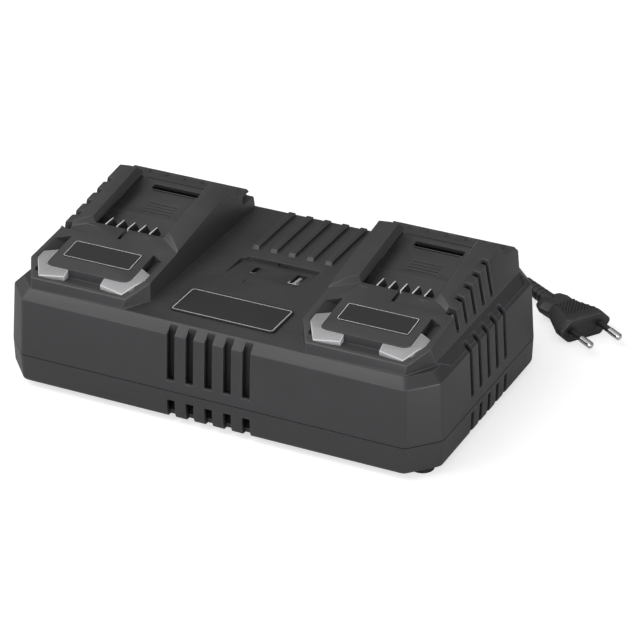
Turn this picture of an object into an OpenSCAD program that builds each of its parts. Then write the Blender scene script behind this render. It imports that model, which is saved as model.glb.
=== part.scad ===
// Mains charger with two slide-on battery docks, two USB sockets and a lead.
// Millimetres. The origin is on the table under the middle of the body, +X is the long
// side, -Y is the front and +Z is up. The right dock is drawn, the left one is its mirror.

/* [Body] */
// Width of the body
body_w = 250; // [244:1:262]
// Depth of the body
body_d = 151; // [149:1:158]
// Height of the seam between the two shells above the table
seam_z = 19.5; // [18.5:0.5:24]
// Rise of the centre panel above the seam
panel_rise = 37; // [36:0.5:44]
// Wall thickness of both shells
wall = 2.5; // [2.2:0.1:2.8]
// Corner cut of the plan, measured along the width
corner_x = 14.5; // [12:0.5:16]
// Corner cut of the plan, measured along the depth
corner_y = 15.7; // [13:0.5:17]
// Radius that rounds the edges of the corner cuts
corner_r = 4; // [2:0.5:5]
// Inward lean of the upper walls
lean = 2; // [1:0.1:3]
// Width of the slope along the top edge of the walls
top_slope = 5; // [3.5:0.5:5.5]
// Height of the rounded bottom edge
bottom_edge = 3; // [2:0.5:4]
// Dark gap that shows between the shells
seam_gap = 0.5; // [0.3:0.1:0.8]
// Thickness of the tongue behind the seam
tongue_t = 1.2; // [1:0.1:1.3]
// Height of the tongue above the lower shell
tongue_h = 2; // [1.5:0.1:3]

/* [Feet and case screws] */
// Radius of a foot
foot_r = 6.4; // [5:0.1:7]
// Height of a foot
foot_h = 3.5; // [3:0.1:4.5]
// Distance of the feet from the sides of the body
foot_in = 12; // [11:0.5:17]
// Distance of the feet from the middle along the depth
foot_y = 58; // [52:0.5:59]
// Radius of a case screw
case_screw_r = 1.5; // [1.3:0.1:1.7]
// Length of a case screw under its head
case_screw_l = 26; // [22:0.5:30]
// Radius of a case screw head
case_head_r = 3; // [2.6:0.1:3.2]
// Radius of a screw boss
boss_r = 4.6; // [4.4:0.1:5]
// Distance of the corner bosses from the sides of the body
boss_in = 35; // [34:0.5:37]
// Distance of the corner bosses from the middle along the depth
boss_y = 62; // [60:0.5:63]
// Distance of the middle bosses from the middle along the width
mid_boss_x = 34; // [30:0.5:38]

/* [Vents] */
// Number of slots in each group on the front and the sides
vent_count = 5; // [3:1:5]
// Distance between neighbouring slots
vent_pitch = 10.85; // [10:0.05:11.5]
// Width of a front slot
front_vent_w = 4.5; // [3:0.1:5]
// Width of a side slot
side_vent_w = 3.9; // [3:0.1:5]
// Height of the front and side slots' lower end above the seam
vent_rise = 6; // [4:0.5:8]
// Height of the slots in the lower shell under the seam
low_vent_drop = 5.5; // [4:0.5:8]
// Drop of the lower shell's side slots under the seam
low_side_drop = 3.3; // [3:0.1:6]
// Rise of the dock side slots above the centre panel
dock_vent_rise = 3.9; // [3:0.1:6]
// Reach of the dock side slots into the rail
dock_vent_reach = 4; // [3:0.1:5]
// Number of slots along the back of a dock
rear_vent_count = 7; // [5:1:7]
// Reach of the back slots in front of the dock's rear edge
rear_vent_reach = 5; // [3:0.5:6]
// Depth of the back slots under the strip
rear_vent_depth = 8; // [5:0.5:9]
// Depth of the pockets over the back slots
pocket_depth = 0.6; // [0.4:0.1:1.8]
// Thickness of the rim behind the pockets
rim_t = 1; // [0.8:0.1:1.5]
// Height of the rim over the back slots
rim_h = 2.8; // [2.5:0.1:3.5]

/* [Centre panel] */
// Number of ribs on the centre panel
rib_count = 5; // [3:1:5]
// Width of a rib
rib_w = 4; // [3:0.1:5]
// Height of a rib
rib_h = 1.8; // [1:0.1:2.5]
// Distance between neighbouring ribs
rib_pitch = 10.8; // [9:0.1:11.5]
// Front end of the ribs
rib_front_y = 22; // [18:0.5:26]
// Rear end of the ribs
rib_rear_y = 67; // [60:0.5:68]
// Distance of the name plate's ends from the docks
plate_in = 13.8; // [12.8:0.1:18.8]
// Depth of the name plate
plate_d = 26; // [20:0.5:28]
// Thickness of the name plate
plate_t = 0.8; // [0.5:0.1:1.2]
// Middle of the name plate along the depth
plate_y = -45; // [-48:0.5:-42]
// Middle of the name plate along the width
plate_x = -1; // [-3:0.5:3]
// Corner radius of the plates
plate_r = 2.5; // [1:0.5:3]

/* [USB recess] */
// Left side of the recess
recess_left = 24; // [22:0.5:26]
// Right side of the recess
recess_right = 21; // [20:0.5:24]
// Front line of the recess, where its floor meets the panel
recess_front_y = -11; // [-14:0.5:-9]
// Back wall of the recess
recess_back_y = 14; // [12:0.5:16]
// Depth of the recess at its back wall
recess_depth = 2.6; // [2:0.1:3.5]
// Cut of the recess's back corner
recess_cut = 4; // [2:0.5:6]
// Width of the USB-A shell
usb_a_w = 5.7; // [5.5:0.1:6]
// Length of the USB-A shell
usb_a_l = 13.1; // [12.5:0.1:13.5]
// Depth of both socket shells under the recess floor
socket_h = 14; // [12:0.5:14]
// Middle of the USB-A shell across the recess
usb_a_x = 13; // [11:0.5:14]
// Middle of both sockets along the recess floor
usb_y = 14.2; // [13:0.1:15]
// Width of the USB-C shell
usb_c_w = 3.26; // [3.1:0.01:3.4]
// Length of the USB-C shell
usb_c_l = 8.94; // [8.8:0.01:9.1]
// Middle of the USB-C shell across the recess
usb_c_x = -11.8; // [-14:0.1:-10]
// Thickness of the socket shells
socket_t = 0.35; // [0.3:0.05:0.5]
// Thickness of the tongue in the USB-A socket
usb_a_tongue_t = 1.84; // [1.6:0.02:2]
// Thickness of the tongue in the USB-C socket
usb_c_tongue_t = 0.7; // [0.6:0.05:0.8]

/* [Docks] */
// Distance of a dock's middle from the side of the body
dock_side_in = 45.5; // [44.5:0.1:46]
// Half width of a dock toward the centre panel
dock_in = 35.7; // [35:0.1:36.5]
// Half width of a dock toward the side, at the foot of its wall
dock_out = 36.8; // [36.4:0.1:37.2]
// Rise of the foot of the dock's outer wall above the centre panel
dock_foot_rise = 1.8; // [1.6:0.1:2]
// Lean of the dock's outer wall in degrees
dock_lean = 11; // [8:0.5:12]
// Rise of the deck's rear edge above the centre panel
deck_rise = 15.3; // [14.5:0.1:16]
// Rear edge of the deck
deck_rear_y = -13.2; // [-14:0.1:-12.5]
// Tilt of the deck in degrees
deck_tilt = 6.9; // [6:0.1:7.5]
// Line where the deck turns down into the nose
nose_top_y = -53.5; // [-55:0.5:-53]
// Front edge of the nose
nose_low_y = -67; // [-67.5:0.1:-66.5]
// Rise of the nose's front edge above the centre panel
nose_rise = 5.4; // [5:0.1:6]
// Half width of the nose's front edge
nose_half = 28; // [27:0.1:29]
// Half width of the pad
pad_half = 24.8; // [24:0.1:25]
// Front edge of the pad
pad_front_y = -57.7; // [-58.2:0.1:-57.2]
// Corner radius of the pad's front
pad_r = 4; // [3:0.5:5]
// Half width of the tray round the pad
tray_half = 32.2; // [31.5:0.1:32.5]
// Front edge of the tray
tray_front_y = -64.8; // [-65:0.1:-64.2]
// Rear end of the tray beside the pad
tray_rear_y = -29.7; // [-32:0.1:-28]
// Rise of the tray's floor above the centre panel
tray_rise = 5; // [4.6:0.1:5.4]
// Depth of the tray's side channels under the deck
channel_drop = 5; // [4:0.1:6]
// Half length of the gap between a dock's light guides
guide_gap_half = 10.7; // [9:0.1:14]
// Rear tip of a light guide along the pad
guide_rear_y = -42.8; // [-44:0.1:-41]
// Radius of a light guide's stem
stem_r = 1.8; // [1.5:0.1:2]
// Length of the label on a pad
pad_label_w = 40; // [36:0.5:42]
// Depth of the label on a pad
pad_label_d = 15.4; // [13:0.1:16]
// Thickness of the labels
label_t = 0.3; // [0.2:0.1:0.4]

/* [Rails] */
// Offset of the rails from the dock's middle toward the panel
rail_shift = 1.3; // [0.8:0.1:1.6]
// Tilt of the rails and of the channel floor in degrees
rail_tilt = 9.1; // [8.5:0.1:9.5]
// Rise of the rails' flat above the panel, over the body's middle
rail_rise = 20.4; // [20:0.1:22]
// Half distance between the lips of the rails
lip_half = 20.2; // [19.5:0.1:20.8]
// Width of the chamfer that leads from a rail's flat to its lip
lip_chamfer = 2.5; // [2:0.1:3]
// Drop of the lip under the rail's flat
lip_drop = 3.8; // [3:0.1:4.2]
// Thickness of the lip
lip_t = 1; // [0.8:0.1:1.4]
// Depth of the groove under the lip
groove_d = 3; // [2.5:0.1:3.4]
// Width of a rail's flat
flat_w = 4.2; // [3.5:0.1:5]
// Width of the slope from the flat to the ridge
ridge_w = 7.9; // [7:0.1:8.5]
// Drop of the ridge under the flat
ridge_drop = 1.7; // [1.4:0.1:2]
// Rear end of the rails' top
rail_end_y = 36; // [34:0.5:37]
// Foot of the rails' rear slope
rail_foot_y = 45; // [43:0.5:46]
// Front end of the rails at their inner edge
rail_nose_in_y = -16.3; // [-18:0.1:-15]
// Front end of the rails at the ridge
rail_nose_out_y = -24.5; // [-27:0.1:-22]
// Rise of the channel floor above the panel, over the body's middle
floor_rise = 9; // [8.6:0.1:9.5]
// Line where the floor meets the flat strip at the back
strip_y = 44; // [43:0.5:45]
// Rear edge of the strip
strip_rear_y = 56; // [55:0.5:57]
// Size of the slope behind the strip
rear_slope = 8; // [6:0.5:8.5]
// Foot of the dock's rear wall
dock_rear_y = 66.3; // [65.5:0.1:67]

/* [Contacts and marks] */
// Number of contact blades in a dock
blade_count = 5; // [3:1:5]
// Distance between neighbouring blades
blade_pitch = 6.65; // [6:0.05:7]
// Thickness of a blade
blade_t = 0.8; // [0.6:0.05:1]
// Length of a blade behind the deck
blade_l = 12; // [10:0.1:13]
// Half width of the contact block
block_half = 18; // [16:0.5:19]
// Length of the contact block under the deck
block_l = 13; // [10:0.5:14]
// Half length of the latch slot
latch_half = 14.1; // [12:0.1:15]
// Front edge of the latch slot
latch_y = 35.2; // [34.5:0.1:36]
// Width of the latch slot
latch_w = 4.4; // [4:0.1:5]
// Number of fine grooves in the channel floor
fine_count = 4; // [2:1:5]
// Distance between neighbouring fine grooves
fine_pitch = 2.6; // [2.2:0.1:3]
// Half length of a fine groove
fine_half = 8.6; // [7:0.1:10]

/* [Boards] */
// Distance of the main board's ends from the sides of the body
board_in = 27; // [26:0.5:35]
// Width of the main board
board_w = 92; // [86:1:94]
// Thickness of the boards
board_t = 1.6; // [1.2:0.1:2]
// Height of the posts under the main board
board_post_h = 6; // [5:0.5:7]
// Radius of a board screw
board_screw_r = 1.2; // [1:0.1:1.5]

/* [Power stage] */
// Length of the transformer core
core_l = 38; // [34:1:40]
// Width of the transformer core
core_w = 30; // [26:1:31]
// Height of the transformer core
core_h = 26; // [22:1:27]
// Radius of a bulk capacitor
bulk_r = 11; // [9:0.5:11]
// Height of a bulk capacitor
bulk_h = 32; // [26:1:34]
// Radius of an output capacitor
out_cap_r = 5; // [4:0.5:6]
// Height of an output capacitor
out_cap_h = 20; // [16:1:24]
// Length of a heatsink
sink_l = 58; // [50:1:60]
// Height of a heatsink
sink_h = 30; // [24:1:32]
// Thickness of a heatsink
sink_t = 3; // [2:0.5:3.5]
// Outer radius of the mains choke's core
choke_r = 11; // [9:0.5:11]
// Inner radius of the mains choke's core
choke_bore_r = 6; // [5:0.5:7]
// Height of the mains choke's core
choke_h = 8; // [6:0.5:10]

/* [Fan] */
// Side of the square fan frame as a share of the height inside the case
fan_size_share = 0.84; // [0.8:0.01:0.86]
// Thickness of the fan frame
fan_t = 15; // [10:1:15]
// Distance of the fan's middle from the side of the body
fan_in = 13; // [12.5:0.5:13.5]
// Share of the height left over that lies under the fan
fan_lift_share = 0.25; // [0.15:0.05:0.4]
// Number of fan blades
fan_blades = 7; // [5:1:9]
// Radius of the fan shaft
fan_shaft_r = 1.5; // [1.2:0.1:2]
// Running clearance of the fan shaft in its bearing
shaft_clearance = 0.05; // [0.03:0.01:0.08]

/* [Mains lead] */
// Diameter of the mains cord
cord_d = 5.6; // [5.4:0.1:5.8]
// Height of the cord's exit above the table
exit_z = 11.5; // [11.5:0.1:12.5]
// Length of the strain relief's tail outside the case
relief_l = 25; // [20:0.5:25]
// Radius of the strain relief in the wall
relief_r = 5; // [4.5:0.1:5.2]
// Length of a conductor pin's insulated part
sleeve_l = 10; // [9:0.5:11]
// Length of a plug pin outside the plug's face
pin_l = 19; // [18:0.5:20]
// Radius of a plug pin
pin_r = 2; // [1.95:0.01:2.05]
// Distance between the plug pins at the face
pin_pitch = 18.6; // [18:0.1:19.2]
// Width of the plug's face
plug_w = 35.3; // [34:0.1:36]
// Thickness of the plug
plug_t = 14.2; // [13.6:0.1:14.4]
// Length of the plug's body behind its face
plug_l = 35; // [33:0.5:36]
// Length of the ribbed tail behind the plug
tail_l = 24; // [20:0.5:25]
// Distance between neighbouring turns
coil_pitch = 6.1; // [6.1:0.1:6.2]

/* [Hidden] */
$fn = 48;

// Derived heights and lines
panel_z = seam_z + panel_rise;
belt_z = panel_z - top_slope;
low_top_z = seam_z - seam_gap / 2;
up_low_z = seam_z + seam_gap / 2;
floor_z = foot_h + wall;
half_w = body_w / 2;
foot_x = half_w - foot_in;
boss_x = half_w - boss_in;
dock_x = half_w - dock_side_in;
plate_w = (dock_x - dock_in - plate_in) * 2;
fan_x = half_w - fan_in;
board_l = body_w - board_in * 2;
inside_h = panel_z - wall - floor_z;
fan_size = inside_h * fan_size_share;
fan_lift = (inside_h - fan_size) * fan_lift_share;
half_d = body_d / 2;
// Overrun of every cut, and the thickness of the plates that a hull joins
over = 30;
thin = 0.01;
// Clearance between pieces that sit in one another
fit = 0.1;
screw_fit = 0.05;

// Corner cut of the plan: its length and the direction of its normal
cut_l = norm([corner_x, corner_y]);
cut_nx = corner_y / cut_l;
cut_ny = corner_x / cut_l;

// Unit vector along v
function unit(v) = v / norm(v);

// Arc of radius r that rounds the corner q between p and s
function corner_arc(p, q, s, r, n) =
    let (a = unit(p - q), b = unit(s - q), half = acos(a * b) / 2)
    let (centre = q + unit(a + b) * r / sin(half))
    let (from = q + a * r / tan(half) - centre, to = q + b * r / tan(half) - centre)
    let (start = atan2(from[1], from[0]), raw = atan2(to[1], to[0]) - start)
    let (turn = raw > 180 ? raw - 360 : raw < -180 ? raw + 360 : raw)
    [for (i = [0 : n]) centre + r * [cos(start + turn * i / n), sin(start + turn * i / n)]];

// Outline with every corner rounded by an arc of n steps
function rounded(pts, r, n = 4) =
    let (m = len(pts))
    [for (i = [0 : m - 1]) each corner_arc(pts[(i + m - 1) % m], pts[i], pts[(i + 1) % m], r, n)];

// Prism whose outline is drawn in X and Z, from y0 to y1
module along_y(y0, y1) {
    translate([0, y1, 0]) rotate([90, 0, 0]) linear_extrude(y1 - y0) children();
}

// Prism whose outline is drawn in Y and Z, from x0 to x1
module along_x(x0, x1) {
    translate([x0, 0, 0]) rotate([90, 0, 90]) linear_extrude(x1 - x0) children();
}

// Prism whose outline is drawn in X and Y, from z0 to z1
module along_z(z0, z1) {
    translate([0, 0, z0]) linear_extrude(z1 - z0) children();
}

// Box between two corners
module box(a, b) {
    translate(a) cube(b - a);
}

// Copies for both docks
module both_docks() {
    translate([dock_x, 0, 0]) children();
    mirror([1, 0, 0]) translate([dock_x, 0, 0]) children();
}

// One dock: side is 1 on the right and -1 on the left
module dock_side(side) {
    mirror([side < 0 ? 1 : 0, 0, 0]) translate([dock_x, 0, 0]) children();
}

// Plan outline of the body, set inward by i on every side
function body_points(i) =
    let (w = half_w - i, d = half_d - i)
    let (cx = corner_x + i * ((1 - cut_ny) / cut_nx - 1), cy = corner_y + i * ((1 - cut_nx) / cut_ny - 1))
    [[-w, cy - d], [cx - w, -d], [w - cx, -d], [w, cy - d],
     [w, d - cy], [w - cx, d], [cx - w, d], [-w, d - cy]];

module body_plate(z, i) {
    translate([0, 0, z]) linear_extrude(thin) polygon(rounded(body_points(i), corner_r));
}

// Lower block of the body, with its skin set inward by s
module low_block(s, top) {
    hull() {
        body_plate(foot_h + s, bottom_edge * low_edge_share + s);
        body_plate(foot_h + s + bottom_edge * low_round_share, bottom_edge * low_mid_share + s);
        body_plate(foot_h + s + bottom_edge, bottom_edge * low_side_share + s);
        body_plate(top - thin, s);
    }
}
// Shares of the bottom edge's height that the rounded edge is inset by
low_edge_share = 0.75;
low_mid_share = 0.32;
low_round_share = 0.35;
low_side_share = 0.12;

// Upper block of the body up to the centre panel, with its skin set inward by s
module up_block(s, low) {
    hull() {
        body_plate(low, s);
        body_plate(belt_z - s * slope_share, lean + s);
        body_plate(panel_z - s - thin, lean + top_slope + s * slope_share);
    }
}
// Share of a wall that a 45 degree slope moves by when it is set inward
slope_share = sqrt(2) - 1;

// Heights of the deck, the nose and the channel floor over a line y of a dock
function deck_z(y) = panel_z + deck_rise + (y - deck_rear_y) * tan(deck_tilt);
function floor_at(y) = panel_z + floor_rise + y * tan(rail_tilt);
nose_low_z = panel_z + nose_rise;
nose_top_z = deck_z(nose_top_y);
function nose_z(y) = nose_low_z + (y - nose_low_y) * (nose_top_z - nose_low_z) / (nose_top_y - nose_low_y);
strip_z = floor_at(strip_y);
tray_z = panel_z + tray_rise;
rail_z = panel_z + rail_rise;
rail_end_z = rail_z + rail_end_y * tan(rail_tilt);
dock_foot_z = panel_z + dock_foot_rise;
dock_front_y = lean + top_slope - half_d;

// Plan of a dock with its skin set inward by s; its corner cuts run past the side wall
dock_reach = dock_out + lean + bottom_edge;
back_cut_in = 8;
dock_r = 1.5;
nose_share = (dock_in - nose_half) / (nose_top_y - nose_low_y);
nose_wall_share = norm([nose_share, 1]);
function nose_x(y, s) = nose_half + (y - nose_low_y) * nose_share - s * nose_wall_share;
function nose_y(x, s) = nose_low_y + (x + s * nose_wall_share - nose_half) / nose_share;
back_cut = cut_nx * (half_w - corner_x) + cut_ny * half_d - back_cut_in;
function back_x(y, s) = (back_cut - s - cut_ny * y) / cut_nx - dock_x;
function back_y(x, s) = (back_cut - s - cut_nx * (x + dock_x)) / cut_ny;
function dock_plan(s) = [[s - dock_in, dock_rear_y - s], [s - dock_in, nose_y(dock_in - s, s)],
    [-nose_x(dock_front_y + s, s), dock_front_y + s], [nose_x(dock_front_y + s, s), dock_front_y + s],
    [dock_reach - s, nose_y(dock_reach - s, s)], [dock_reach - s, back_y(dock_reach - s, s)],
    [back_x(dock_rear_y - s, s), dock_rear_y - s]];

// Side walls of a dock in X and Z
function dock_section(s) = [[s - dock_in, belt_z], [s - dock_in, rail_end_z],
    [dock_out - s - (rail_end_z - dock_foot_z) * tan(dock_lean), rail_end_z],
    [dock_out - s, dock_foot_z - s * slope_share],
    [dock_out - s + dock_foot_z - belt_z, belt_z - s * slope_share]];

// Deck, nose, channel floor and strip of a dock in Y and Z
dock_profile = [
    [dock_front_y, belt_z], [dock_front_y, panel_z], [nose_low_y, nose_low_z], [nose_top_y, nose_top_z],
    [deck_rear_y, deck_z(deck_rear_y)], [deck_rear_y, floor_at(deck_rear_y)], [strip_y, strip_z],
    [strip_rear_y, strip_z], [strip_rear_y + rear_slope, strip_z - rear_slope],
    [dock_rear_y, panel_z], [dock_rear_y, belt_z]];

// Hollow under the nose, tray, deck and channel floor in Y and Z
hollow_deck_y = deck_rear_y - wall;
hollow_tray_y = tray_rear_y + wall;
hollow_drop = channel_drop + wall + fit;
hollow_profile = [
    [dock_front_y + wall, belt_z - wall], [dock_front_y + wall, tray_z - wall - fit],
    [tray_front_y, tray_z - wall - fit], [nose_top_y, deck_z(nose_top_y) - hollow_drop],
    [hollow_tray_y, deck_z(hollow_tray_y) - hollow_drop], [hollow_tray_y, deck_z(hollow_tray_y) - wall],
    [hollow_deck_y, deck_z(hollow_deck_y) - wall], [hollow_deck_y, floor_at(hollow_deck_y) - wall],
    [strip_y, strip_z - wall], [strip_rear_y - rear_slope, strip_z - wall],
    [strip_rear_y - rear_slope, strip_z - rear_vent_depth - wall],
    [strip_rear_y + rear_slope - wall, strip_z - rear_vent_depth - wall],
    [dock_rear_y - wall, panel_z - wall], [dock_rear_y - wall, belt_z - wall]];

// Section of one rail: X outward from the rails' middle, Y up from the rail's flat
flat_in = lip_half + lip_chamfer;
flat_out = flat_in + flat_w;
ridge_half = flat_out + ridge_w;
groove_half = lip_half + groove_d;
rail_out = ridge_half + rail_shift + lean + bottom_edge;
rail_out_drop = (rail_out - flat_out) * ridge_drop / ridge_w;
rail_root = rail_rise - floor_rise + wall;
rail_section = [[flat_in, 0], [flat_out, 0], [rail_out, -rail_out_drop], [rail_out, -rail_root],
    [groove_half, -rail_root], [groove_half, -lip_drop - lip_t], [lip_half, -lip_drop - lip_t],
    [lip_half, -lip_drop]];
rail_hollow_section = [[groove_half + wall, -wall], [flat_out, -wall], [rail_out, -rail_out_drop - wall],
    [rail_out, -rail_root - wall], [groove_half + wall, -rail_root - wall]];

// Rails in Y and Z with their rear slope
rail_front_y = rail_nose_out_y - wall * 2;
function rail_profile(s) = [[rail_front_y, belt_z - s], [rail_front_y, rail_end_z],
    [rail_end_y - s, rail_end_z], [rail_foot_y - s, strip_z], [rail_foot_y - s, belt_z - s]];

// Frames along the rails from their middle, and the deck from its rear edge
module rail_frame() {
    translate([-rail_shift, 0, rail_z]) rotate([rail_tilt, 0, 0]) children();
}
module deck_frame() {
    translate([0, deck_rear_y, panel_z + deck_rise]) rotate([deck_tilt, 0, 0]) children();
}

// Space in front of the right rail's slanted end, moved back by s
module rail_nose_cut(s) {
    heading = atan2(rail_nose_in_y - rail_nose_out_y, flat_in - ridge_half);
    translate([ridge_half, rail_nose_out_y + s, deck_z(rail_nose_out_y)])
        rotate([0, 0, heading]) rotate([-rail_nose_lean, 0, 0])
            box([-over, -over, 0], [over, over, over]);
}

// Both rails of a dock, or the hollow inside them
module rails(section, s) {
    intersection() {
        for (k = [0, 1]) translate([-rail_shift, 0, 0]) mirror([k, 0, 0]) difference() {
            translate([0, 0, rail_z]) rotate([rail_tilt, 0, 0])
                along_y(-half_d, half_d) polygon(section);
            rail_nose_cut(s * 2);
        }
        along_x(-half_w, half_w) polygon(rail_profile(s));
    }
}

// Outline of the pad, grown by g, and of the tray round it, shrunk by g
function pad_outline(g) = rounded([[-pad_half - g, tray_rear_y + over], [-pad_half - g, pad_front_y - g],
    [pad_half + g, pad_front_y - g], [pad_half + g, tray_rear_y + over]], pad_r);
tray_step = tray_half - pad_half;
tray_corner_share = 1.65;
tray_corner_y = tray_front_y + tray_step * tray_corner_share;
function tray_outline(g) = rounded([[-pad_half, tray_rear_y - g],
    [g - tray_half, tray_rear_y - tray_step * tray_rear_share - g], [g - tray_half, tray_corner_y],
    [g - pad_half, tray_front_y + g], [pad_half - g, tray_front_y + g], [tray_half - g, tray_corner_y],
    [tray_half - g, tray_rear_y - tray_step * tray_rear_share - g], [pad_half, tray_rear_y - g]],
    tray_r, 3);
tray_rear_share = 0.66;
tray_r = 0.8;

// Space of the tray, made smaller by g for what lies in it
module tray_space(g) {
    difference() {
        intersection() {
            along_z(tray_z, rail_z) polygon(tray_outline(g));
            union() {
                box([-half_w, -half_d, tray_z], [half_w, pad_front_y + fit, rail_z]);
                deck_frame() for (k = [0, 1]) mirror([k, 0, 0]) along_y(-half_d, 0)
                    polygon([[0, -channel_drop], [pad_half, -channel_drop],
                        [tray_half + tray_step, channel_drop], [tray_half + tray_step, over], [0, over]]);
            }
        }
        along_z(belt_z, rail_z + over) polygon(pad_outline(g));
    }
}

// Solid of one dock before its hollow and cuts
module dock_solid() {
    intersection() {
        along_z(belt_z, rail_end_z + thin) polygon(rounded(dock_plan(0), dock_r));
        along_y(-half_d, half_d) polygon(dock_section(0));
        union() {
            along_x(-half_w, half_w) polygon(dock_profile);
            rails(rail_section, 0);
            intersection() {
                along_z(belt_z, rail_z) polygon(pad_outline(0));
                deck_frame() box([-half_w, -half_d, -over], [half_w, 0, 0]);
                box([-half_w, -half_d, belt_z], [half_w, deck_rear_y, rail_z]);
            }
        }
    }
}

// Hollow of one dock
module dock_hollow() {
    intersection() {
        along_z(belt_z - wall, rail_end_z) polygon(dock_plan(wall));
        along_y(-half_d, half_d) polygon(dock_section(wall));
        union() {
            along_x(-half_w, half_w) polygon(hollow_profile);
            rails(rail_hollow_section, wall);
            intersection() {
                box([wall - pad_half, pad_front_y + wall, belt_z - wall],
                    [pad_half - wall, hollow_deck_y, rail_z]);
                deck_frame() box([-half_w, -half_d, -over], [half_w, 0, -wall]);
            }
        }
    }
}
rail_nose_lean = 55;

// Cuts of one dock: tray, slots, grooves, window and stem holes
module dock_cuts() {
    tray_space(0);
    rail_frame() {
        box([-latch_half, latch_y, -rail_root - wall], [latch_half, latch_y + latch_w, -lip_drop]);
        box([-latch_half + latch_gap, latch_y - latch_gap * 2, -rail_root - wall],
            [latch_half - latch_gap, latch_y - latch_gap, -lip_drop]);
        for (i = [0 : fine_count - 1])
            box([-fine_half, fine_y - i * fine_pitch, floor_v - fine_d],
                [fine_half, fine_y - i * fine_pitch + fine_w, -lip_drop]);
        box([-groove_half, -over, floor_v - fine_d / 3], [groove_half, step_y, -lip_drop]);
        box([-groove_half + fine_w, strip_y, floor_v - fine_d / 2],
            [groove_half - fine_w, strip_y + fine_w / 2, -lip_drop]);
    }
    // Groove in the deck in front of the middle blade
    deck_frame() box([-deck_groove_w / 2, -deck_groove_l, -deck_groove_w], [deck_groove_w / 2, 0, over]);
    // Window behind which the contact block sits
    box([-block_half - fit, hollow_deck_y - fit, block_low_z - fit],
        [block_half + fit, deck_rear_y + fit, block_top_z + fit]);
    for (k = [-1, 1]) translate([k * stem_x, stem_y, belt_z]) cylinder(r = stem_r + fit, h = over);
    // Slots in the outer wall, up through the ridge
    for (i = [0 : vent_count - 1])
        box([dock_vent_x, vent_at(i) - side_vent_w / 2, panel_z + dock_vent_rise],
            [dock_out + over, vent_at(i) + side_vent_w / 2, rail_end_z + over]);
    // Pockets in the strip and slots under them, open to the rear
    for (i = [0 : rear_vent_count - 1]) translate([rear_vent_at(i), strip_rear_y, strip_z]) {
        box([-front_vent_w / 2, -rear_vent_reach, -pocket_depth], [front_vent_w / 2, -rim_t, over]);
        box([-front_vent_w / 2, -rear_vent_reach, -rear_vent_depth], [front_vent_w / 2, over, -rim_h]);
    }
}
function vent_at(i) = (i - (vent_count - 1) / 2) * vent_pitch;
function rear_vent_at(i) = (i - (rear_vent_count - 1) / 2) * vent_pitch - rail_shift;
floor_v = floor_rise - rail_rise;
latch_gap = 0.8;
fine_y = 22.2;
fine_w = 0.8;
fine_d = 0.6;
step_y = 10.3;
deck_groove_w = 1.8;
deck_groove_l = 10;
stem_x = pad_half + stem_r + tray_r;
stem_y = pad_front_y - stem_r - fit * 2;
dock_vent_x = ridge_half - rail_shift - dock_vent_reach;
block_low_z = floor_at(deck_rear_y) + fit;
block_top_z = deck_z(deck_rear_y - block_l) - wall - fit;

// Frame on the floor of the USB recess: Y runs up the slope from the front line
recess_l = recess_back_y - recess_front_y;
recess_tilt = atan(recess_depth / recess_l);
module recess_frame() {
    translate([0, recess_front_y, panel_z]) rotate([-recess_tilt, 0, 0]) children();
}
module socket_hole(x, w, l, r) {
    recess_frame() translate([x, usb_y, -over])
        linear_extrude(over + over) polygon(rounded(slot_points(w, l), r));
}
function slot_points(w, l) = [[-w / 2, -l / 2], [w / 2, -l / 2], [w / 2, l / 2], [-w / 2, l / 2]];
usb_a_r = 0.5;
usb_c_r_share = 0.42;
usb_c_r = usb_c_w * usb_c_r_share;

// Cuts of the centre panel
module panel_cuts() {
    intersection() {
        recess_frame() box([-half_w, 0, 0], [half_w, recess_l + over, over]);
        along_z(belt_z, panel_z + over) polygon([[-recess_left, recess_front_y],
            [recess_right, recess_front_y], [recess_right, recess_back_y],
            [recess_cut - recess_left, recess_back_y], [-recess_left, recess_back_y - recess_cut]]);
    }
    socket_hole(usb_a_x, usb_a_w + fit, usb_a_l + fit, usb_a_r);
    socket_hole(usb_c_x, usb_c_w + fit, usb_c_l + fit, usb_c_r);
    // Slit at the foot of the recess's back wall
    box([-slit_w * slit_share, recess_back_y - fit, panel_z - recess_depth],
        [slit_w * (1 - slit_share), recess_back_y + slit_d, panel_z - recess_depth + slit_h]);
    // Arrow head beside the USB-C socket
    translate([usb_c_x + arrow_x, recess_front_y + arrow_y, panel_z - arrow_d])
        linear_extrude(over) polygon([[0, 0], [0, -arrow_l], [arrow_w, arrow_foot - arrow_l]]);
}
slit_w = 5.8;
slit_share = 0.64;
slit_d = 1.5;
slit_h = 1.5;
arrow_x = 1.2;
arrow_y = 3;
arrow_w = 3;
arrow_l = 6.7;
arrow_foot = 0.8;
arrow_d = 0.5;

// Cylinder from a to b, and a wire of straight runs with ball joints
module rod(a, b, r) {
    v = b - a;
    translate(a) rotate([0, acos(v[2] / norm(v)), atan2(v[1], v[0])]) cylinder(r = r, h = norm(v));
}
module wire(pts, r) {
    for (i = [0 : len(pts) - 2]) rod(pts[i], pts[i + 1], r);
    for (i = [1 : len(pts) - 2]) translate(pts[i]) sphere(r);
}

// Colours of the materials
shell_colour = "#3b3c3e";
rubber_colour = "#1d1d1e";
steel_colour = "#b9bbbd";
board_colour = "#1f5a38";
frost_colour = "#c9cbcc";
copper_colour = "#b8743a";
aluminium_colour = "#a9acb0";
ferrite_colour = "#4a4a4c";

// Screws of the case, head down
case_places = [for (x = [-boss_x, boss_x]) for (y = [-boss_y, boss_y]) [x, y],
    [-mid_boss_x, boss_y], [mid_boss_x, boss_y]];
head_seat_z = foot_h + wall * 2;
head_h = 2;
module at_case_screws() {
    for (p = case_places) translate([p[0], p[1], 0]) children();
}

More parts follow.
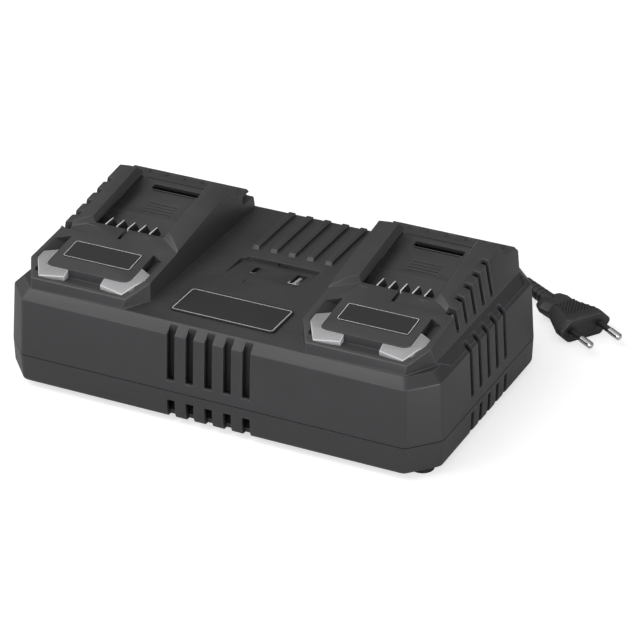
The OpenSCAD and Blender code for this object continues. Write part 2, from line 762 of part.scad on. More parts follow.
// Middle of the cord's exit along the width
exit_x = -6;
cord_r = cord_d / 2;
clamp_in = 18.5;
clamp_half = 11;
clamp_screw_x = 7.5;
clamp_y = half_d - clamp_in;
clamp_w = 6;
clamp_h = 4.5;

board_z = floor_z + board_post_h;
board_top = board_z + board_t;
board_post_shares = [0.46, 0.41];
board_post_r = 4;
module at_board_posts() {
    for (x = [-1, 1]) for (y = [-1, 1])
        translate([x * board_l * board_post_shares[0], y * board_w * board_post_shares[1], 0]) children();
}

fan_z = floor_z + fan_lift + fan_size / 2;
cradle_t = 1.5;
cradle_h = 10;
cradle_half = 14;
low_cut = 2;

// Lower shell with its screw posts, board posts, clamp seat and fan cradle
module lower_case() {
    color(shell_colour) difference() {
        union() {
            difference() {
                low_block(0, low_top_z);
                low_block(wall, low_top_z + fit);
            }
            difference() {
                along_z(low_top_z - wall, up_low_z + tongue_h)
                    polygon(rounded(body_points(wall - tongue_t), corner_r));
                along_z(low_top_z - wall - fit, up_low_z + tongue_h + fit)
                    polygon(rounded(body_points(wall), corner_r));
            }
            at_case_screws() translate([0, 0, foot_h]) cylinder(r = boss_r, h = seam_z - foot_h);
            at_board_posts() translate([0, 0, foot_h + fit])
                cylinder(r = board_post_r, h = board_z - foot_h - fit);
            box([exit_x - clamp_half, clamp_y, foot_h + fit],
                [exit_x + clamp_half, clamp_y + clamp_w, exit_z]);
            box([fan_x - fan_t / 2 - fit - cradle_t, -cradle_half, foot_h + fit],
                [fan_x + fan_t / 2 + fit + cradle_t, cradle_half, floor_z + cradle_h]);
        }
        box([fan_x - fan_t / 2 - fit, -cradle_half - fit, floor_z + fan_lift],
            [fan_x + fan_t / 2 + fit, cradle_half + fit, seam_z + over]);
        at_case_screws() {
            translate([0, 0, -over]) cylinder(r = case_screw_r + screw_fit, h = over * 3);
            cylinder(r = case_head_r + fit * 2, h = head_seat_z);
        }
        at_board_posts() translate([0, 0, floor_z]) cylinder(r = board_screw_r + screw_fit, h = over);
        relief_axis() {
            translate([0, 0, -over]) cylinder(r = relief_r + fit, h = over * 2);
            translate([0, 0, -wall - relief_flange - fit * 3])
                cylinder(r = relief_flange_r + fit, h = relief_flange + fit * 2);
        }
        for (k = [-1, 1]) translate([exit_x + k * clamp_screw_x, clamp_y + clamp_w / 2, floor_z])
            cylinder(r = board_screw_r + screw_fit, h = over);
        // Slots through the lower edge, front and sides
        for (i = [0 : vent_count - 1]) {
            box([vent_at(i) - front_vent_w / 2, -half_d - over, -over],
                [vent_at(i) + front_vent_w / 2, wall + low_cut - half_d, seam_z - low_vent_drop]);
            for (k = [0, 1]) mirror([k, 0, 0])
                box([half_w - wall - low_cut, vent_at(i) - side_vent_w / 2, -over],
                    [half_w + over, vent_at(i) + side_vent_w / 2, seam_z - low_side_drop]);
        }
    }
}

// Posts for the USB board under the upper shell, in the recess frame
usb_post_r = 2.8;
usb_post_shares = [-0.79, 0.93];
usb_post_x = [recess_left * usb_post_shares[0], recess_right * usb_post_shares[1]];
module at_usb_posts() {
    recess_frame() for (x = usb_post_x) translate([x, usb_y, 0]) children();
}

// Small boards under the light guides' stems
led_drop = 9;
led_z = tray_z - wall - led_drop;
led_h = 1;
led_out = 3;
led_in = 9;
led_half_w = 4;
led_post_in = 6;
led_post_r = 2.4;
module at_led_posts() {
    for (k = [-1, 1]) translate([k * (stem_x - led_post_in), stem_y, 0]) children();
}

side_vent_in = 6.3;
baffle_gap = 4;
baffle_t = 1.5;
baffle_half = vent_at(vent_count - 1) + front_vent_w;
vent_top_gap = 0.8;
rib_front_slope = 0.8;

// Marks beside the contacts, raised on the deck
mark_l = 5;
mark_w = 1;
mark_h = 0.4;
mark_y = -3;
minus_x = -19.5;
plus_x = 14.6;
module mark_bar(x, l, w) {
    translate([x, mark_y, 0]) box([-l / 2, -w / 2, -mark_h], [l / 2, w / 2, mark_h]);
}
module dock_marks() {
    for (side = [-1, 1]) translate([side * dock_x, 0, 0]) deck_frame() {
        mark_bar(minus_x, mark_l, mark_w);
        mark_bar(plus_x, mark_l, mark_w);
        mark_bar(plus_x, mark_w, mark_l * mark_short_share);
    }
}
mark_short_share = 0.7;

// Upper shell with docks, ribs, vents, and posts for boards and screws
module upper_case() {
    color(shell_colour) difference() {
        union() {
            difference() {
                union() {
                    up_block(0, up_low_z);
                    both_docks() dock_solid();
                    dock_marks();
                    for (i = [0 : rib_count - 1]) translate([(i - (rib_count - 1) / 2) * rib_pitch, 0, 0])
                        along_x(-rib_w / 2, rib_w / 2) polygon([[rib_front_y, panel_z - wall / 2],
                            [rib_front_y, panel_z], [rib_front_y + rib_h * rib_front_slope, panel_z + rib_h],
                            [rib_rear_y, panel_z + rib_h], [rib_rear_y, panel_z - wall / 2]]);
                }
                difference() {
                    union() {
                        up_block(wall, up_low_z - fit);
                        both_docks() dock_hollow();
                    }
                    // Thick floor under the USB recess
                    box([-recess_left - wall, recess_front_y - wall, panel_z - recess_depth - wall],
                        [recess_right + wall, recess_back_y + wall, panel_z]);
                }
                both_docks() dock_cuts();
                panel_cuts();
                along_z(up_low_z - fit, up_low_z + tongue_h + fit)
                    polygon(rounded(body_points(wall - tongue_t - fit), corner_r));
                for (i = [0 : vent_count - 1]) {
                    box([vent_at(i) - front_vent_w / 2, -half_d - over, seam_z + vent_rise],
                        [vent_at(i) + front_vent_w / 2, dock_front_y - vent_top_gap, panel_z + over]);
                    for (k = [0, 1]) mirror([k, 0, 0])
                        box([half_w - side_vent_in, vent_at(i) - side_vent_w / 2, seam_z + vent_rise],
                            [half_w + over, vent_at(i) + side_vent_w / 2, panel_z]);
                }
            }
            for (p = case_places) translate([p[0], p[1], seam_z]) let (under_dock = p[1] < 0)
                cylinder(r = boss_r, h = (under_dock ? tray_z : panel_z) - wall / 2 - seam_z);
            both_docks() at_led_posts() translate([0, 0, led_z + board_t])
                cylinder(r = led_post_r, h = led_drop - board_t + wall / 2);
            // Baffle behind the front slots
            translate([0, wall + baffle_gap - half_d, 0])
                box([-baffle_half, 0, seam_z + vent_rise / 2], [baffle_half, baffle_t, panel_z - wall / 2]);
            at_usb_posts() translate([0, 0, -socket_h]) cylinder(r = usb_post_r, h = socket_h - wall / 2);
        }
        at_case_screws() translate([0, 0, seam_z - fit])
            cylinder(r = case_screw_r + screw_fit, h = head_seat_z + case_screw_l - seam_z + fit * 3);
        both_docks() at_led_posts() translate([0, 0, led_z])
            cylinder(r = board_screw_r + screw_fit, h = led_drop - wall / 2);
        at_usb_posts() translate([0, 0, -socket_h - fit])
            cylinder(r = board_screw_r + screw_fit, h = socket_h - wall - wall);
    }
}

module rubber_feet() {
    color(rubber_colour) for (x = [-foot_x, foot_x]) for (y = [-foot_y, foot_y])
        translate([x, y, 0]) {
            cylinder(r = foot_r, h = foot_h);
        }
}

module case_screws() {
    color(steel_colour) at_case_screws() {
        translate([0, 0, head_seat_z - head_h]) cylinder(r = case_head_r, h = head_h);
        translate([0, 0, head_seat_z - head_h / 2]) cylinder(r = case_screw_r, h = case_screw_l + head_h / 2);
    }
}

// Flat plate with rounded corners on the plane z
module plate(x, y, z, w, d, t, r = plate_r) {
    translate([x, y, z]) linear_extrude(t) polygon(rounded(slot_points(w, d), r));
}

module name_plate() {
    color(shell_colour) plate(plate_x, plate_y, panel_z, plate_w, plate_d, plate_t);
}

// Bare plate under the case
rating_w = 70;
rating_d = 40;
module rating_plate() {
    color(steel_colour) plate(0, 0, foot_h - label_t, rating_w, rating_d, label_t);
}

// Bare label on a dock's pad
pad_label_v = -27.2;
label_r = 1.4;
module pad_label(side) {
    color(rubber_colour) translate([side * dock_x, 0, 0]) deck_frame()
        plate(0, pad_label_v, 0, pad_label_w, pad_label_d, label_t, label_r);
}
module pad_label_left() { pad_label(-1); }
module pad_label_right() { pad_label(1); }

// Light guide at a dock's front corner, with its stem down to the light
guide_end_w = 4.6;
guide_tip_drop = 4.2;
guide_proud = 0.3;
guide_end_y = pad_front_y - guide_end_w;
guide_side_y = guide_rear_y - guide_tip_drop;
module guide_space(g) {
    intersection() {
        tray_space(g);
        along_z(belt_z, rail_z) polygon([[guide_gap_half, pad_front_y + pad_r], [guide_gap_half, guide_end_y],
            [pad_half, tray_front_y + g], [pad_half, tray_front_y - over], [half_w, tray_front_y - over],
            [half_w, guide_side_y], [tray_half, guide_side_y], [pad_half, guide_rear_y],
            [guide_gap_half, guide_rear_y]]);
        along_x(0, half_w) polygon([[-half_d, belt_z], [-half_d, nose_z(-half_d) + guide_proud],
            [tray_front_y, nose_z(tray_front_y) + guide_proud],
            [pad_front_y, deck_z(pad_front_y) - guide_proud], [0, deck_z(0) - guide_proud], [0, belt_z]]);
    }
}
module light_guide(side, k) {
    color(frost_colour) dock_side(side) mirror([k < 0 ? 1 : 0, 0, 0]) {
        guide_space(fit);
        translate([stem_x, stem_y, led_z + board_t + led_h + fit])
            cylinder(r = stem_r, h = tray_z + fit - led_z - board_t - led_h);
    }
}
module guide_left_outer() { light_guide(-1, 1); }
module guide_left_inner() { light_guide(-1, -1); }
module guide_right_inner() { light_guide(1, -1); }
module guide_right_outer() { light_guide(1, 1); }

// Contact block under the deck, with a slot for each blade
function blade_at(i) = (i - (blade_count - 1) / 2) * blade_pitch;
blade_root = 6;
blade_low_z = block_low_z + blade_t;
blade_top_z = block_top_z - blade_t;
module contact_block(side) {
    color(rubber_colour) dock_side(side) difference() {
        box([-block_half, deck_rear_y - block_l, block_low_z], [block_half, deck_rear_y, block_top_z]);
        for (i = [0 : blade_count - 1])
            box([blade_at(i) - blade_t / 2, deck_rear_y - blade_root, blade_low_z],
                [blade_at(i) + blade_t / 2, deck_rear_y + fit, blade_top_z]);
    }
}
module contact_block_left() { contact_block(-1); }
module contact_block_right() { contact_block(1); }

// Blades: a root in the block and a tapering part over the channel floor
blade_top_share = 0.7;
module contact_blades(side) {
    color(steel_colour) dock_side(side) for (i = [0 : blade_count - 1])
        translate([blade_at(i), deck_rear_y, 0]) along_x(-blade_t / 2, blade_t / 2) polygon([
            [-blade_root, blade_low_z], [-blade_root, blade_top_z], [fit, blade_top_z],
            [fit, deck_z(deck_rear_y) + blade_rise],
            [blade_l * blade_top_share, deck_z(deck_rear_y) + blade_rise],
            [blade_l, blade_low_z + blade_l * tan(rail_tilt)], [fit, blade_low_z]]);
}
blade_rise = 0.1;
module contact_blades_left() { contact_blades(-1); }
module contact_blades_right() { contact_blades(1); }

// Two small boards of one dock, each with its light under the stem
led_size = 3;
module led_board(side) {
    color(board_colour) dock_side(side) for (k = [-1, 1]) difference() {
        union() {
            mirror([k < 0 ? 1 : 0, 0, 0]) {
                box([stem_x - led_in, stem_y - led_half_w, led_z],
                    [stem_x + led_out, stem_y + led_half_w, led_z + board_t]);
                box([stem_x - led_size / 2, stem_y - led_size / 2, led_z],
                    [stem_x + led_size / 2, stem_y + led_size / 2, led_z + board_t + led_h]);
            }
        }
        translate([k * (stem_x - led_post_in), stem_y, led_z - fit])
            cylinder(r = board_screw_r + screw_fit, h = board_t + fit * 2);
    }
}
module led_board_left() { led_board(-1); }
module led_board_right() { led_board(1); }

// Small screw, head down, whose head's top face lies at the origin
small_head_r = 2.4;
small_head_h = 1.6;
module small_screw(l) {
    translate([0, 0, -small_head_h]) cylinder(r = small_head_r, h = small_head_h);
    translate([0, 0, -small_head_h / 2]) cylinder(r = board_screw_r, h = l + small_head_h / 2);
}
led_screw_l = 5;
module led_board_screws() {
    color(steel_colour) both_docks() at_led_posts() translate([0, 0, led_z]) small_screw(led_screw_l);
}

// Socket shell and tongue, drawn in the recess frame
module socket_shell(x, w, l, r) {
    color(steel_colour) recess_frame() translate([x, usb_y, -socket_h]) difference() {
        linear_extrude(socket_h) polygon(rounded(slot_points(w, l), r));
        translate([0, 0, socket_t]) linear_extrude(socket_h)
            polygon(rounded(slot_points(w - socket_t * 2, l - socket_t * 2), r - socket_t + fit));
    }
}
usb_a_tongue_share = 0.85;
usb_a_tongue_x = -0.7;
tongue_gap = 1.2;
module usb_a_shell() { socket_shell(usb_a_x, usb_a_w, usb_a_l, usb_a_r); }
module usb_c_shell() { socket_shell(usb_c_x, usb_c_w, usb_c_l, usb_c_r); }
module socket_tongue(x, w, l, share) {
    recess_frame() translate([x, usb_y, 0])
        box([-w / 2, -l * share / 2, socket_t - socket_h], [w / 2, l * share / 2, -tongue_gap]);
}
module usb_a_tongue() {
    color(frost_colour) socket_tongue(usb_a_x + usb_a_tongue_x, usb_a_tongue_t, usb_a_l, usb_a_tongue_share);
}
usb_c_tongue_share = 0.74;
module usb_c_tongue() {
    color(rubber_colour) socket_tongue(usb_c_x, usb_c_tongue_t, usb_c_l, usb_c_tongue_share);
}

usb_board_low = 3;
usb_board_l = 23;
module usb_board() {
    color(board_colour) recess_frame() difference() {
        box([-recess_left, usb_board_low, -socket_h - board_t],
            [recess_right + wall, usb_board_low + usb_board_l, -socket_h]);
        for (x = usb_post_x) translate([x, usb_y, -socket_h - over])
            cylinder(r = board_screw_r + screw_fit, h = over * 2);
    }
}
module usb_board_screws() {
    color(steel_colour) at_usb_posts() translate([0, 0, -socket_h - board_t]) small_screw(led_screw_l);
}

module main_board() {
    color(board_colour) difference() {
        box([-board_l / 2, -board_w / 2, board_z], [board_l / 2, board_w / 2, board_top]);
        at_board_posts() translate([0, 0, floor_z]) cylinder(r = board_screw_r + screw_fit, h = over);
    }
}
module main_board_screws() {
    color(steel_colour) at_board_posts() translate([0, 0, board_top]) mirror([0, 0, 1])
        small_screw(led_screw_l);
}

// Places on the main board, as shares of its length and width
module on_board(shares) {
    translate([board_l * shares[0], board_w * shares[1], board_top]) children();
}
// Block of size v that stands on the board
module block(v) {
    translate([-v[0] / 2, -v[1] / 2, 0]) cube(v);
}

transformer_shares = [-0.03, -0.29];
core_wall_share = 0.2;
winding_share = 0.94;
core_open_share = 1 - core_wall_share * 2;
module core_window(g) {
    translate([0, 0, core_h * core_wall_share - g])
        block([core_l * core_open_share + g * 2, core_w * 2, core_h * core_open_share + g * 2]);
}
module transformer_core() {
    color(ferrite_colour) on_board(transformer_shares) {
        difference() {
            block([core_l, core_w, core_h]);
            core_window(0);
        }
        translate([0, 0, core_h * core_wall_share - thin])
            block([core_l * core_wall_share, core_w * winding_share / 2,
                core_h * core_open_share + thin * 2]);
    }
}
module transformer_winding() {
    color("#c9a63c") on_board(transformer_shares) difference() {
        intersection() {
            core_window(-fit);
            block([core_l, core_w * winding_share, core_h]);
        }
        block([core_l * core_wall_share + fit * 2, core_w * winding_share / 2 + fit * 2, core_h]);
    }
}

bulk_shares = [[-0.29, -0.24], [-0.425, -0.24]];
module bulk_capacitors() {
    color("#20242c") for (p = bulk_shares) on_board(p) cylinder(r = bulk_r, h = bulk_h);
}
out_cap_shares = [[0.27, -0.3], [0.34, -0.3], [0.27, -0.15], [0.34, -0.15]];
module output_capacitors() {
    color("#2a3d63") for (p = out_cap_shares) on_board(p) cylinder(r = out_cap_r, h = out_cap_h);
}

choke_shares = [-0.36, 0.2];
choke_cover = 1.5;
module choke_ring(g) {
    difference() {
        translate([0, 0, choke_cover - g]) cylinder(r = choke_r + g, h = choke_h + g * 2);
        cylinder(r = choke_bore_r - g, h = over);
    }
}
module choke_core() {
    color(ferrite_colour) on_board(choke_shares) choke_ring(0);
}
module choke_winding() {
    color(copper_colour) on_board(choke_shares) difference() {
        intersection() {
            choke_ring(choke_cover);
            block([over, choke_r * 3 / 2, over]);
        }
        choke_ring(thin);
        block([choke_bore_r, over, over]);
    }
}

x_cap = [18, 8, 15];
x_cap_shares = [-0.2, 0.4];
module suppression_capacitor() {
    color("#d3b52c") on_board(x_cap_shares) block(x_cap);
}
fuse_r = 2.6;
fuse_l = 20;
fuse_shares = [-0.16, 0.32];
module fuse() {
    color(frost_colour) on_board(fuse_shares) translate([0, 0, fuse_r]) rotate([0, 90, 0])
        cylinder(r = fuse_r, h = fuse_l, center = true);
}

sink_shares = [[-0.2, -0.06], [0.17, -0.06]];
fin_count = 5;
fin_t = 1.2;
fin_l = 4;
module heatsink(i, side) {
    color(aluminium_colour) on_board(sink_shares[i]) {
        block([sink_t, sink_l, sink_h]);
        for (n = [0 : fin_count - 1]) let (along = (n / (fin_count - 1) - 1 / 2) * (sink_l - fin_t))
            translate([-side * (sink_t + fin_l) / 2, along, 0]) block([fin_l + thin * 2, fin_t, sink_h]);
    }
}
module heatsink_primary() { heatsink(0, 1); }
module heatsink_secondary() { heatsink(1, 1); }
package = [4.6, 10, 15];
package_gap = 20;
package_lift = 5;
module packages(i, side) {
    for (n = [-1, 0, 1]) on_board(sink_shares[i])
        translate([side * (sink_t + package[0]) / 2, n * (package_gap - package[0]), 0]) {
            translate([0, 0, package_lift]) block(package);
            block([blade_t, package[1] / 2, package_lift + thin]);
        }
}
module power_switches() { color(rubber_colour) packages(0, 1); }
module output_rectifiers() { color(rubber_colour) packages(1, 1); }

bridge = [22, 4, 18];
bridge_shares = [-0.05, 0.1];
module bridge_rectifier() {
    color(rubber_colour) on_board(bridge_shares) block(bridge);
}
chip = [9, 6, 1.8];
chip_shares = [[0.3, 0.13], [0.4, 0.13], [0.3, 0.33]];
module control_chips() {
    color(rubber_colour) for (p = chip_shares) on_board(p) block(chip);
}

// Fan: its axis lies along X
fan_rim = 1.5;
fan_hub_r = 9;
fan_tip_gap = 1;
bearing_r = 4;
bearing_l = 8;
stator_t = 3;
strut_w = 3;
fan_bore_r = fan_size / 2 - fan_rim;
hub_gap = 0.5;
hub_t = 9;
blade_chord = 9;
fan_blade_t = 1.2;
blade_tilt = 38;
module fan_frame_axis() {
    translate([fan_x + fan_t / 2, 0, fan_z]) rotate([0, -90, 0]) children();
}
module fan_frame() {
    color(rubber_colour) fan_frame_axis() difference() {
        union() {
            difference() {
                translate([0, 0, fan_t / 2]) cube([fan_size, fan_size, fan_t], center = true);
                translate([0, 0, -over]) cylinder(r = fan_bore_r, h = over * 2);
            }
            cylinder(r = fan_hub_r, h = stator_t);
            cylinder(r = bearing_r, h = bearing_l);
            for (a = [0, 90]) rotate([0, 0, a + 45])
                translate([0, 0, stator_t / 2])
                    cube([fan_bore_r * 2 + fan_rim / 2, strut_w, stator_t], center = true);
        }
        translate([0, 0, stator_t / 2]) cylinder(r = fan_shaft_r + shaft_clearance, h = over);
    }
}
module fan_rotor() {
    color(rubber_colour) fan_frame_axis() {
        difference() {
            translate([0, 0, stator_t + hub_gap]) cylinder(r = fan_hub_r, h = hub_t);
            translate([0, 0, stator_t]) cylinder(r = bearing_r + hub_gap, h = bearing_l + hub_gap - stator_t);
        }
        translate([0, 0, stator_t / 2 + hub_gap]) cylinder(r = fan_shaft_r, h = hub_t);
        intersection() {
            translate([0, 0, stator_t + hub_gap]) cylinder(r = fan_bore_r - fan_tip_gap, h = hub_t);
            for (n = [0 : fan_blades - 1]) rotate([0, 0, n * 360 / fan_blades])
                translate([0, 0, stator_t + hub_gap + hub_t / 2]) rotate([blade_tilt, 0, 0])
                    translate([fan_hub_r - fan_tip_gap, -blade_chord / 2, -fan_blade_t / 2])
                        cube([fan_bore_r, blade_chord, fan_blade_t]);
        }
    }
}

terminal = [20, 12, 12];
terminal_shares = [-0.03, 0.4];
terminal_y = board_w * terminal_shares[1] + terminal[1] / 2;
module mains_terminal() {
    color(frost_colour) on_board(terminal_shares) block(terminal);
}
sheath_y = clamp_y - wall;
conductor_r = 1.1;
conductor_x = 1.4;
conductor_out = 4;
conductor_rise = 7.5;
module mains_leads() {
    color(rubber_colour) {
        rod([exit_x, half_d - wall - relief_flange - fit * 2, exit_z], [exit_x, sheath_y, exit_z], cord_r);
        for (k = [-1, 1]) rod([exit_x + k * conductor_x, sheath_y + wall, exit_z],
            [exit_x + k * conductor_out, terminal_y + conductor_r, exit_z + conductor_rise], conductor_r);
    }
}

lead_r = 1.3;
lead_x = 6;
lead_y = -36;
lead_drop = 2.4;
module dock_leads(side) {
    color("#8f2b25") dock_side(side) for (k = [-1, 1])
        wire([[k * lead_x, lead_y, board_top], [k * lead_x, lead_y, block_top_z - lead_drop],
            [k * lead_x, deck_rear_y - block_l, block_top_z - lead_drop]], lead_r);
}
module dock_leads_left() { dock_leads(-1); }
module dock_leads_right() { dock_leads(1); }

usb_lead_r = 0.8;
usb_lead_x = 16;
usb_lead_y = 8;
usb_lead_gap = 2.5;
usb_lead_share = 1.2;
usb_lead_top = panel_z - recess_depth - socket_h - board_t * usb_lead_share;
module usb_leads() {
    color(copper_colour) for (n = [0 : 3]) let (x = usb_lead_x + (n - 2) * usb_lead_gap)
        rod([x, usb_lead_y, board_top], [x, usb_lead_y, usb_lead_top], usb_lead_r);
}
fan_lead_share = 0.47;
fan_lead_y = 18;
fan_lead_z = fan_z - fan_size / 4;
module fan_leads() {
    color(copper_colour) for (k = [-1, 1])
        wire([[fan_x - fan_t / 2, fan_lead_y + k * usb_lead_r * 2, fan_lead_z],
            [board_l * fan_lead_share, fan_lead_y + k * usb_lead_r * 2, fan_lead_z],
            [board_l * fan_lead_share, fan_lead_y + k * usb_lead_r * 2, board_top]], usb_lead_r);
}

// Strain relief, drawn along its axis from inside to outside
relief_flange = 2.2;
relief_flange_r = 5.4;
relief_collar = 2.4;
relief_collar_r = 6.4;
relief_end_r = 3.8;
relief_ribs = 5;
relief_groove = 1.2;
relief_groove_d = 0.9;
module relief_axis() {
    translate([exit_x, half_d, exit_z]) rotate([-90, 0, 0]) children();
}
module ribbed_tail(l, r0, r1, ribs) {
    rotate_extrude() polygon(concat([[0, 0], [r0, 0]],
        [for (n = [1 : ribs]) each let (z = l * n / (ribs + 1), r = r0 + (r1 - r0) * n / (ribs + 1))
            [[r, z], [r - relief_groove_d, z], [r - relief_groove_d, z + relief_groove],
                [r, z + relief_groove]]],
        [[r1, l], [0, l]]));
}
module strain_relief() {
    color(rubber_colour) relief_axis() {
        translate([0, 0, -wall - relief_flange - fit * 2]) cylinder(r = relief_flange_r, h = relief_flange);
        translate([0, 0, -wall - fit * 3]) cylinder(r = relief_r, h = wall + fit * 3);
        cylinder(r = relief_collar_r, h = relief_collar);
        ribbed_tail(relief_l, relief_r, relief_end_r, relief_ribs);
    }
}

module cord_clamp() {
    color(steel_colour) difference() {
        box([exit_x - clamp_half, clamp_y, exit_z],
            [exit_x + clamp_half, clamp_y + clamp_w, exit_z + clamp_h]);
        translate([exit_x, clamp_y - fit, exit_z]) rotate([-90, 0, 0])
            cylinder(r = cord_r + screw_fit, h = clamp_w + fit * 2);
        for (k = [-1, 1]) translate([exit_x + k * clamp_screw_x, clamp_y + clamp_w / 2, 0])
            cylinder(r = board_screw_r + screw_fit, h = over);
    }
}
module clamp_screws() {
    color(steel_colour) for (k = [-1, 1])
        translate([exit_x + k * clamp_screw_x, clamp_y + clamp_w / 2, exit_z + clamp_h])
            mirror([0, 0, 1]) small_screw(clamp_h + led_screw_l - wall);
}

// Coil: two layers that spiral in and out again, from the start angle clockwise
coil_turns = 6.2926;
coil_centre = [40, 119.5];
coil_start = 160;
coil_mid_r = 31.6;
coil_in_r = coil_mid_r - coil_pitch * coil_turns / 4;
coil_rings = 24;
coil_sides = 6;
coil_rise = 6.1;
coil_climb = 0.5;
tie_t = 0.7;
tie_w = 5;
coil_low_z = cord_r + tie_t + fit * 2;
function coil_height(t) = coil_low_z + coil_rise * min(1, max(0, (t - coil_turns / 2) / coil_climb + 1 / 2));
function coil_point(t) = let (a = coil_start - 360 * t, r = coil_in_r + coil_pitch * abs(t - coil_turns / 2))
    [coil_centre[0] + r * cos(a), coil_centre[1] + r * sin(a), coil_height(t)];
coil_step = 1 / coil_rings;
function coil_heading(t) = unit(coil_point(t + coil_step / 8) - coil_point(t - coil_step / 8));
coil_first = coil_point(0) - coil_heading(coil_step) * cord_d;
coil_last = coil_point(coil_turns) + coil_heading(coil_turns - coil_step) * cord_d;
coil_path = concat([coil_first], [for (n = [0 : floor(coil_turns * coil_rings)]) coil_point(n * coil_step)],
    [coil_point(coil_turns), coil_last]);

// Tube of n sides swept along a path of points
function path_way(p, i) = unit(p[min(i + 1, len(p) - 1)] - p[max(i - 1, 0)]);
function ring(c, way, r, n) =
    let (side = unit(cross(way, [0, 0, 1])), rise = cross(side, way))
    [for (k = [0 : n - 1]) c + r * (cos(360 * (k + 1 / 2) / n) * side + sin(360 * (k + 1 / 2) / n) * rise)];
module tube(p, r, n, way0, way1) {
    m = len(p);
    skin([for (i = [0 : m - 1]) ring(p[i], i == 0 ? way0 : i == m - 1 ? way1 : path_way(p, i), r, n)]);
}
// Skin over rings of the same number of points, closed at both ends
module skin(rings) {
    m = len(rings);
    n = len(rings[0]);
    sides = [for (i = [0 : m - 2]) for (k = [0 : n - 1])
        each let (a = i * n + k, b = i * n + (k + 1) % n) [[a, b, a + n], [b, b + n, a + n]]];
    polyhedron([for (r = rings) each r],
        concat([[for (k = [n - 1 : -1 : 0]) k]], [[for (k = [0 : n - 1]) (m - 1) * n + k]], sides));
}

// Smooth path through the route's points, with n steps between two
function bend(a, b, c, d, t) = (b * 2 + (c - a) * t + (a * 2 - b * 5 + c * 4 - d) * t * t
    + (b * 3 - a - c * 3 + d) * t * t * t) / 2;
function smooth(p, n) = let (m = len(p)) concat([for (i = [0 : m - 2]) for (k = [0 : n - 1])
    bend(p[max(i - 1, 0)], p[i], p[i + 1], p[min(i + 2, m - 1)], k / n)], [p[m - 1]]);

cord_sides = 10;
// Routes from the coil to the strain relief and to the plug
mains_route = [coil_first, coil_first - coil_heading(0) * coil_pitch / 3, [-4, 119, 5.5], [-5, 113, 8.5],
    [-6, 106, 11], [exit_x, half_d + relief_l, exit_z]];
module mains_cord() {
    color(rubber_colour) tube(smooth(mains_route, 2), cord_r, cord_sides, -coil_heading(coil_step),
        [0, -1, 0]);
}
module cord_coil() {
    color(rubber_colour) tube(coil_path, cord_r, coil_sides, coil_heading(coil_step),
        coil_heading(coil_turns - coil_step));
}

// Plug: drawn with its pins along +X and its face at the origin
plug_place = [138, 103];
plug_turn = -34;
plug_z = plug_t / 2;
module plug_frame() {
    translate([plug_place[0], plug_place[1], plug_z]) rotate([0, 0, plug_turn]) children();
}
plug_way = [cos(plug_turn), sin(plug_turn), 0];
plug_end = [plug_place[0], plug_place[1], plug_z] - plug_way * (plug_l + tail_l);
tail_route = [coil_last, coil_last * 2 / 3 + plug_end / 3, coil_last / 3 + plug_end * 2 / 3, plug_end];
module cord_tail() {
    color(rubber_colour) tube(smooth(tail_route, 2), cord_r, cord_sides, coil_heading(coil_turns - coil_step),
        plug_way);
}

// Tie round the turns of the coil
tie_angle = -60;
tie_in_r = coil_in_r - cord_r - fit * 2;
tie_out_r = coil_in_r + coil_pitch * coil_turns / 2 + cord_r + fit * 2;
tie_top_z = coil_low_z + coil_rise + cord_r + fit;
module coil_tie() {
    color(frost_colour) translate([coil_centre[0], coil_centre[1], 0]) rotate([0, 0, tie_angle])
        along_y(-tie_w / 2, tie_w / 2) difference() {
            polygon(rounded([[tie_in_r - tie_t, 0], [tie_out_r + tie_t, 0],
                [tie_out_r + tie_t, tie_top_z + tie_t], [tie_in_r - tie_t, tie_top_z + tie_t]], tie_t));
            polygon([[tie_in_r, tie_t], [tie_out_r, tie_t], [tie_out_r, tie_top_z], [tie_in_r, tie_top_z]]);
        }
}

// Shares of the plug's sizes that shape its body
plug_flat_share = 0.6;
face_edge_share = 0.93;
face_step = 1;
plug_full = 4.5;
waist_l_share = 0.66;
waist_w_share = 0.56;
waist_t_share = 0.78;
shoulder_l_share = 0.84;
shoulder_w_share = 0.7;
shoulder_t_share = 0.62;
plug_end_share = 0.5;
plug_r = 2.2;
function plug_ring(x, w, t) = [for (p = rounded([[-w / 2, 0], [-w / 2 * plug_flat_share, -t / 2],
    [w / 2 * plug_flat_share, -t / 2], [w / 2, 0], [w / 2 * plug_flat_share, t / 2],
    [-w / 2 * plug_flat_share, t / 2]], plug_r)) [x, p[0], p[1]]];
pin_root = 6;
tail_r = 4.4;
tail_root = 4;
module plug_body() {
    color(rubber_colour) plug_frame() difference() {
        union() {
            skin([plug_ring(0, plug_w * face_edge_share, plug_t * face_edge_share),
                plug_ring(-face_step, plug_w, plug_t),
                plug_ring(-plug_full, plug_w, plug_t),
                plug_ring(-plug_l * waist_l_share, plug_w * waist_w_share, plug_t * waist_t_share),
                plug_ring(-plug_l * shoulder_l_share, plug_w * shoulder_w_share, plug_t * shoulder_t_share),
                plug_ring(-plug_l, plug_w * shoulder_w_share * shoulder_l_share, plug_t * plug_end_share)]);
            translate([-plug_l, 0, 0]) rotate([0, -90, 0])
                ribbed_tail(tail_l, tail_r, relief_end_r, relief_ribs);
            translate([-plug_l - relief_groove, 0, 0]) rotate([0, 90, 0]) cylinder(r = tail_r, h = tail_root);
        }
        for (k = [-1, 1]) translate([-pin_root, k * pin_pitch / 2, 0]) rotate([0, 90, 0])
            cylinder(r = pin_r - sleeve_step + fit / 5, h = over);
    }
}
sleeve_step = 0.25;
pin_core_r = 1.5;
pin_tip = 1;
module at_pins() {
    plug_frame() for (k = [-1, 1]) translate([0, k * pin_pitch / 2, 0]) rotate([0, 90, 0]) children();
}
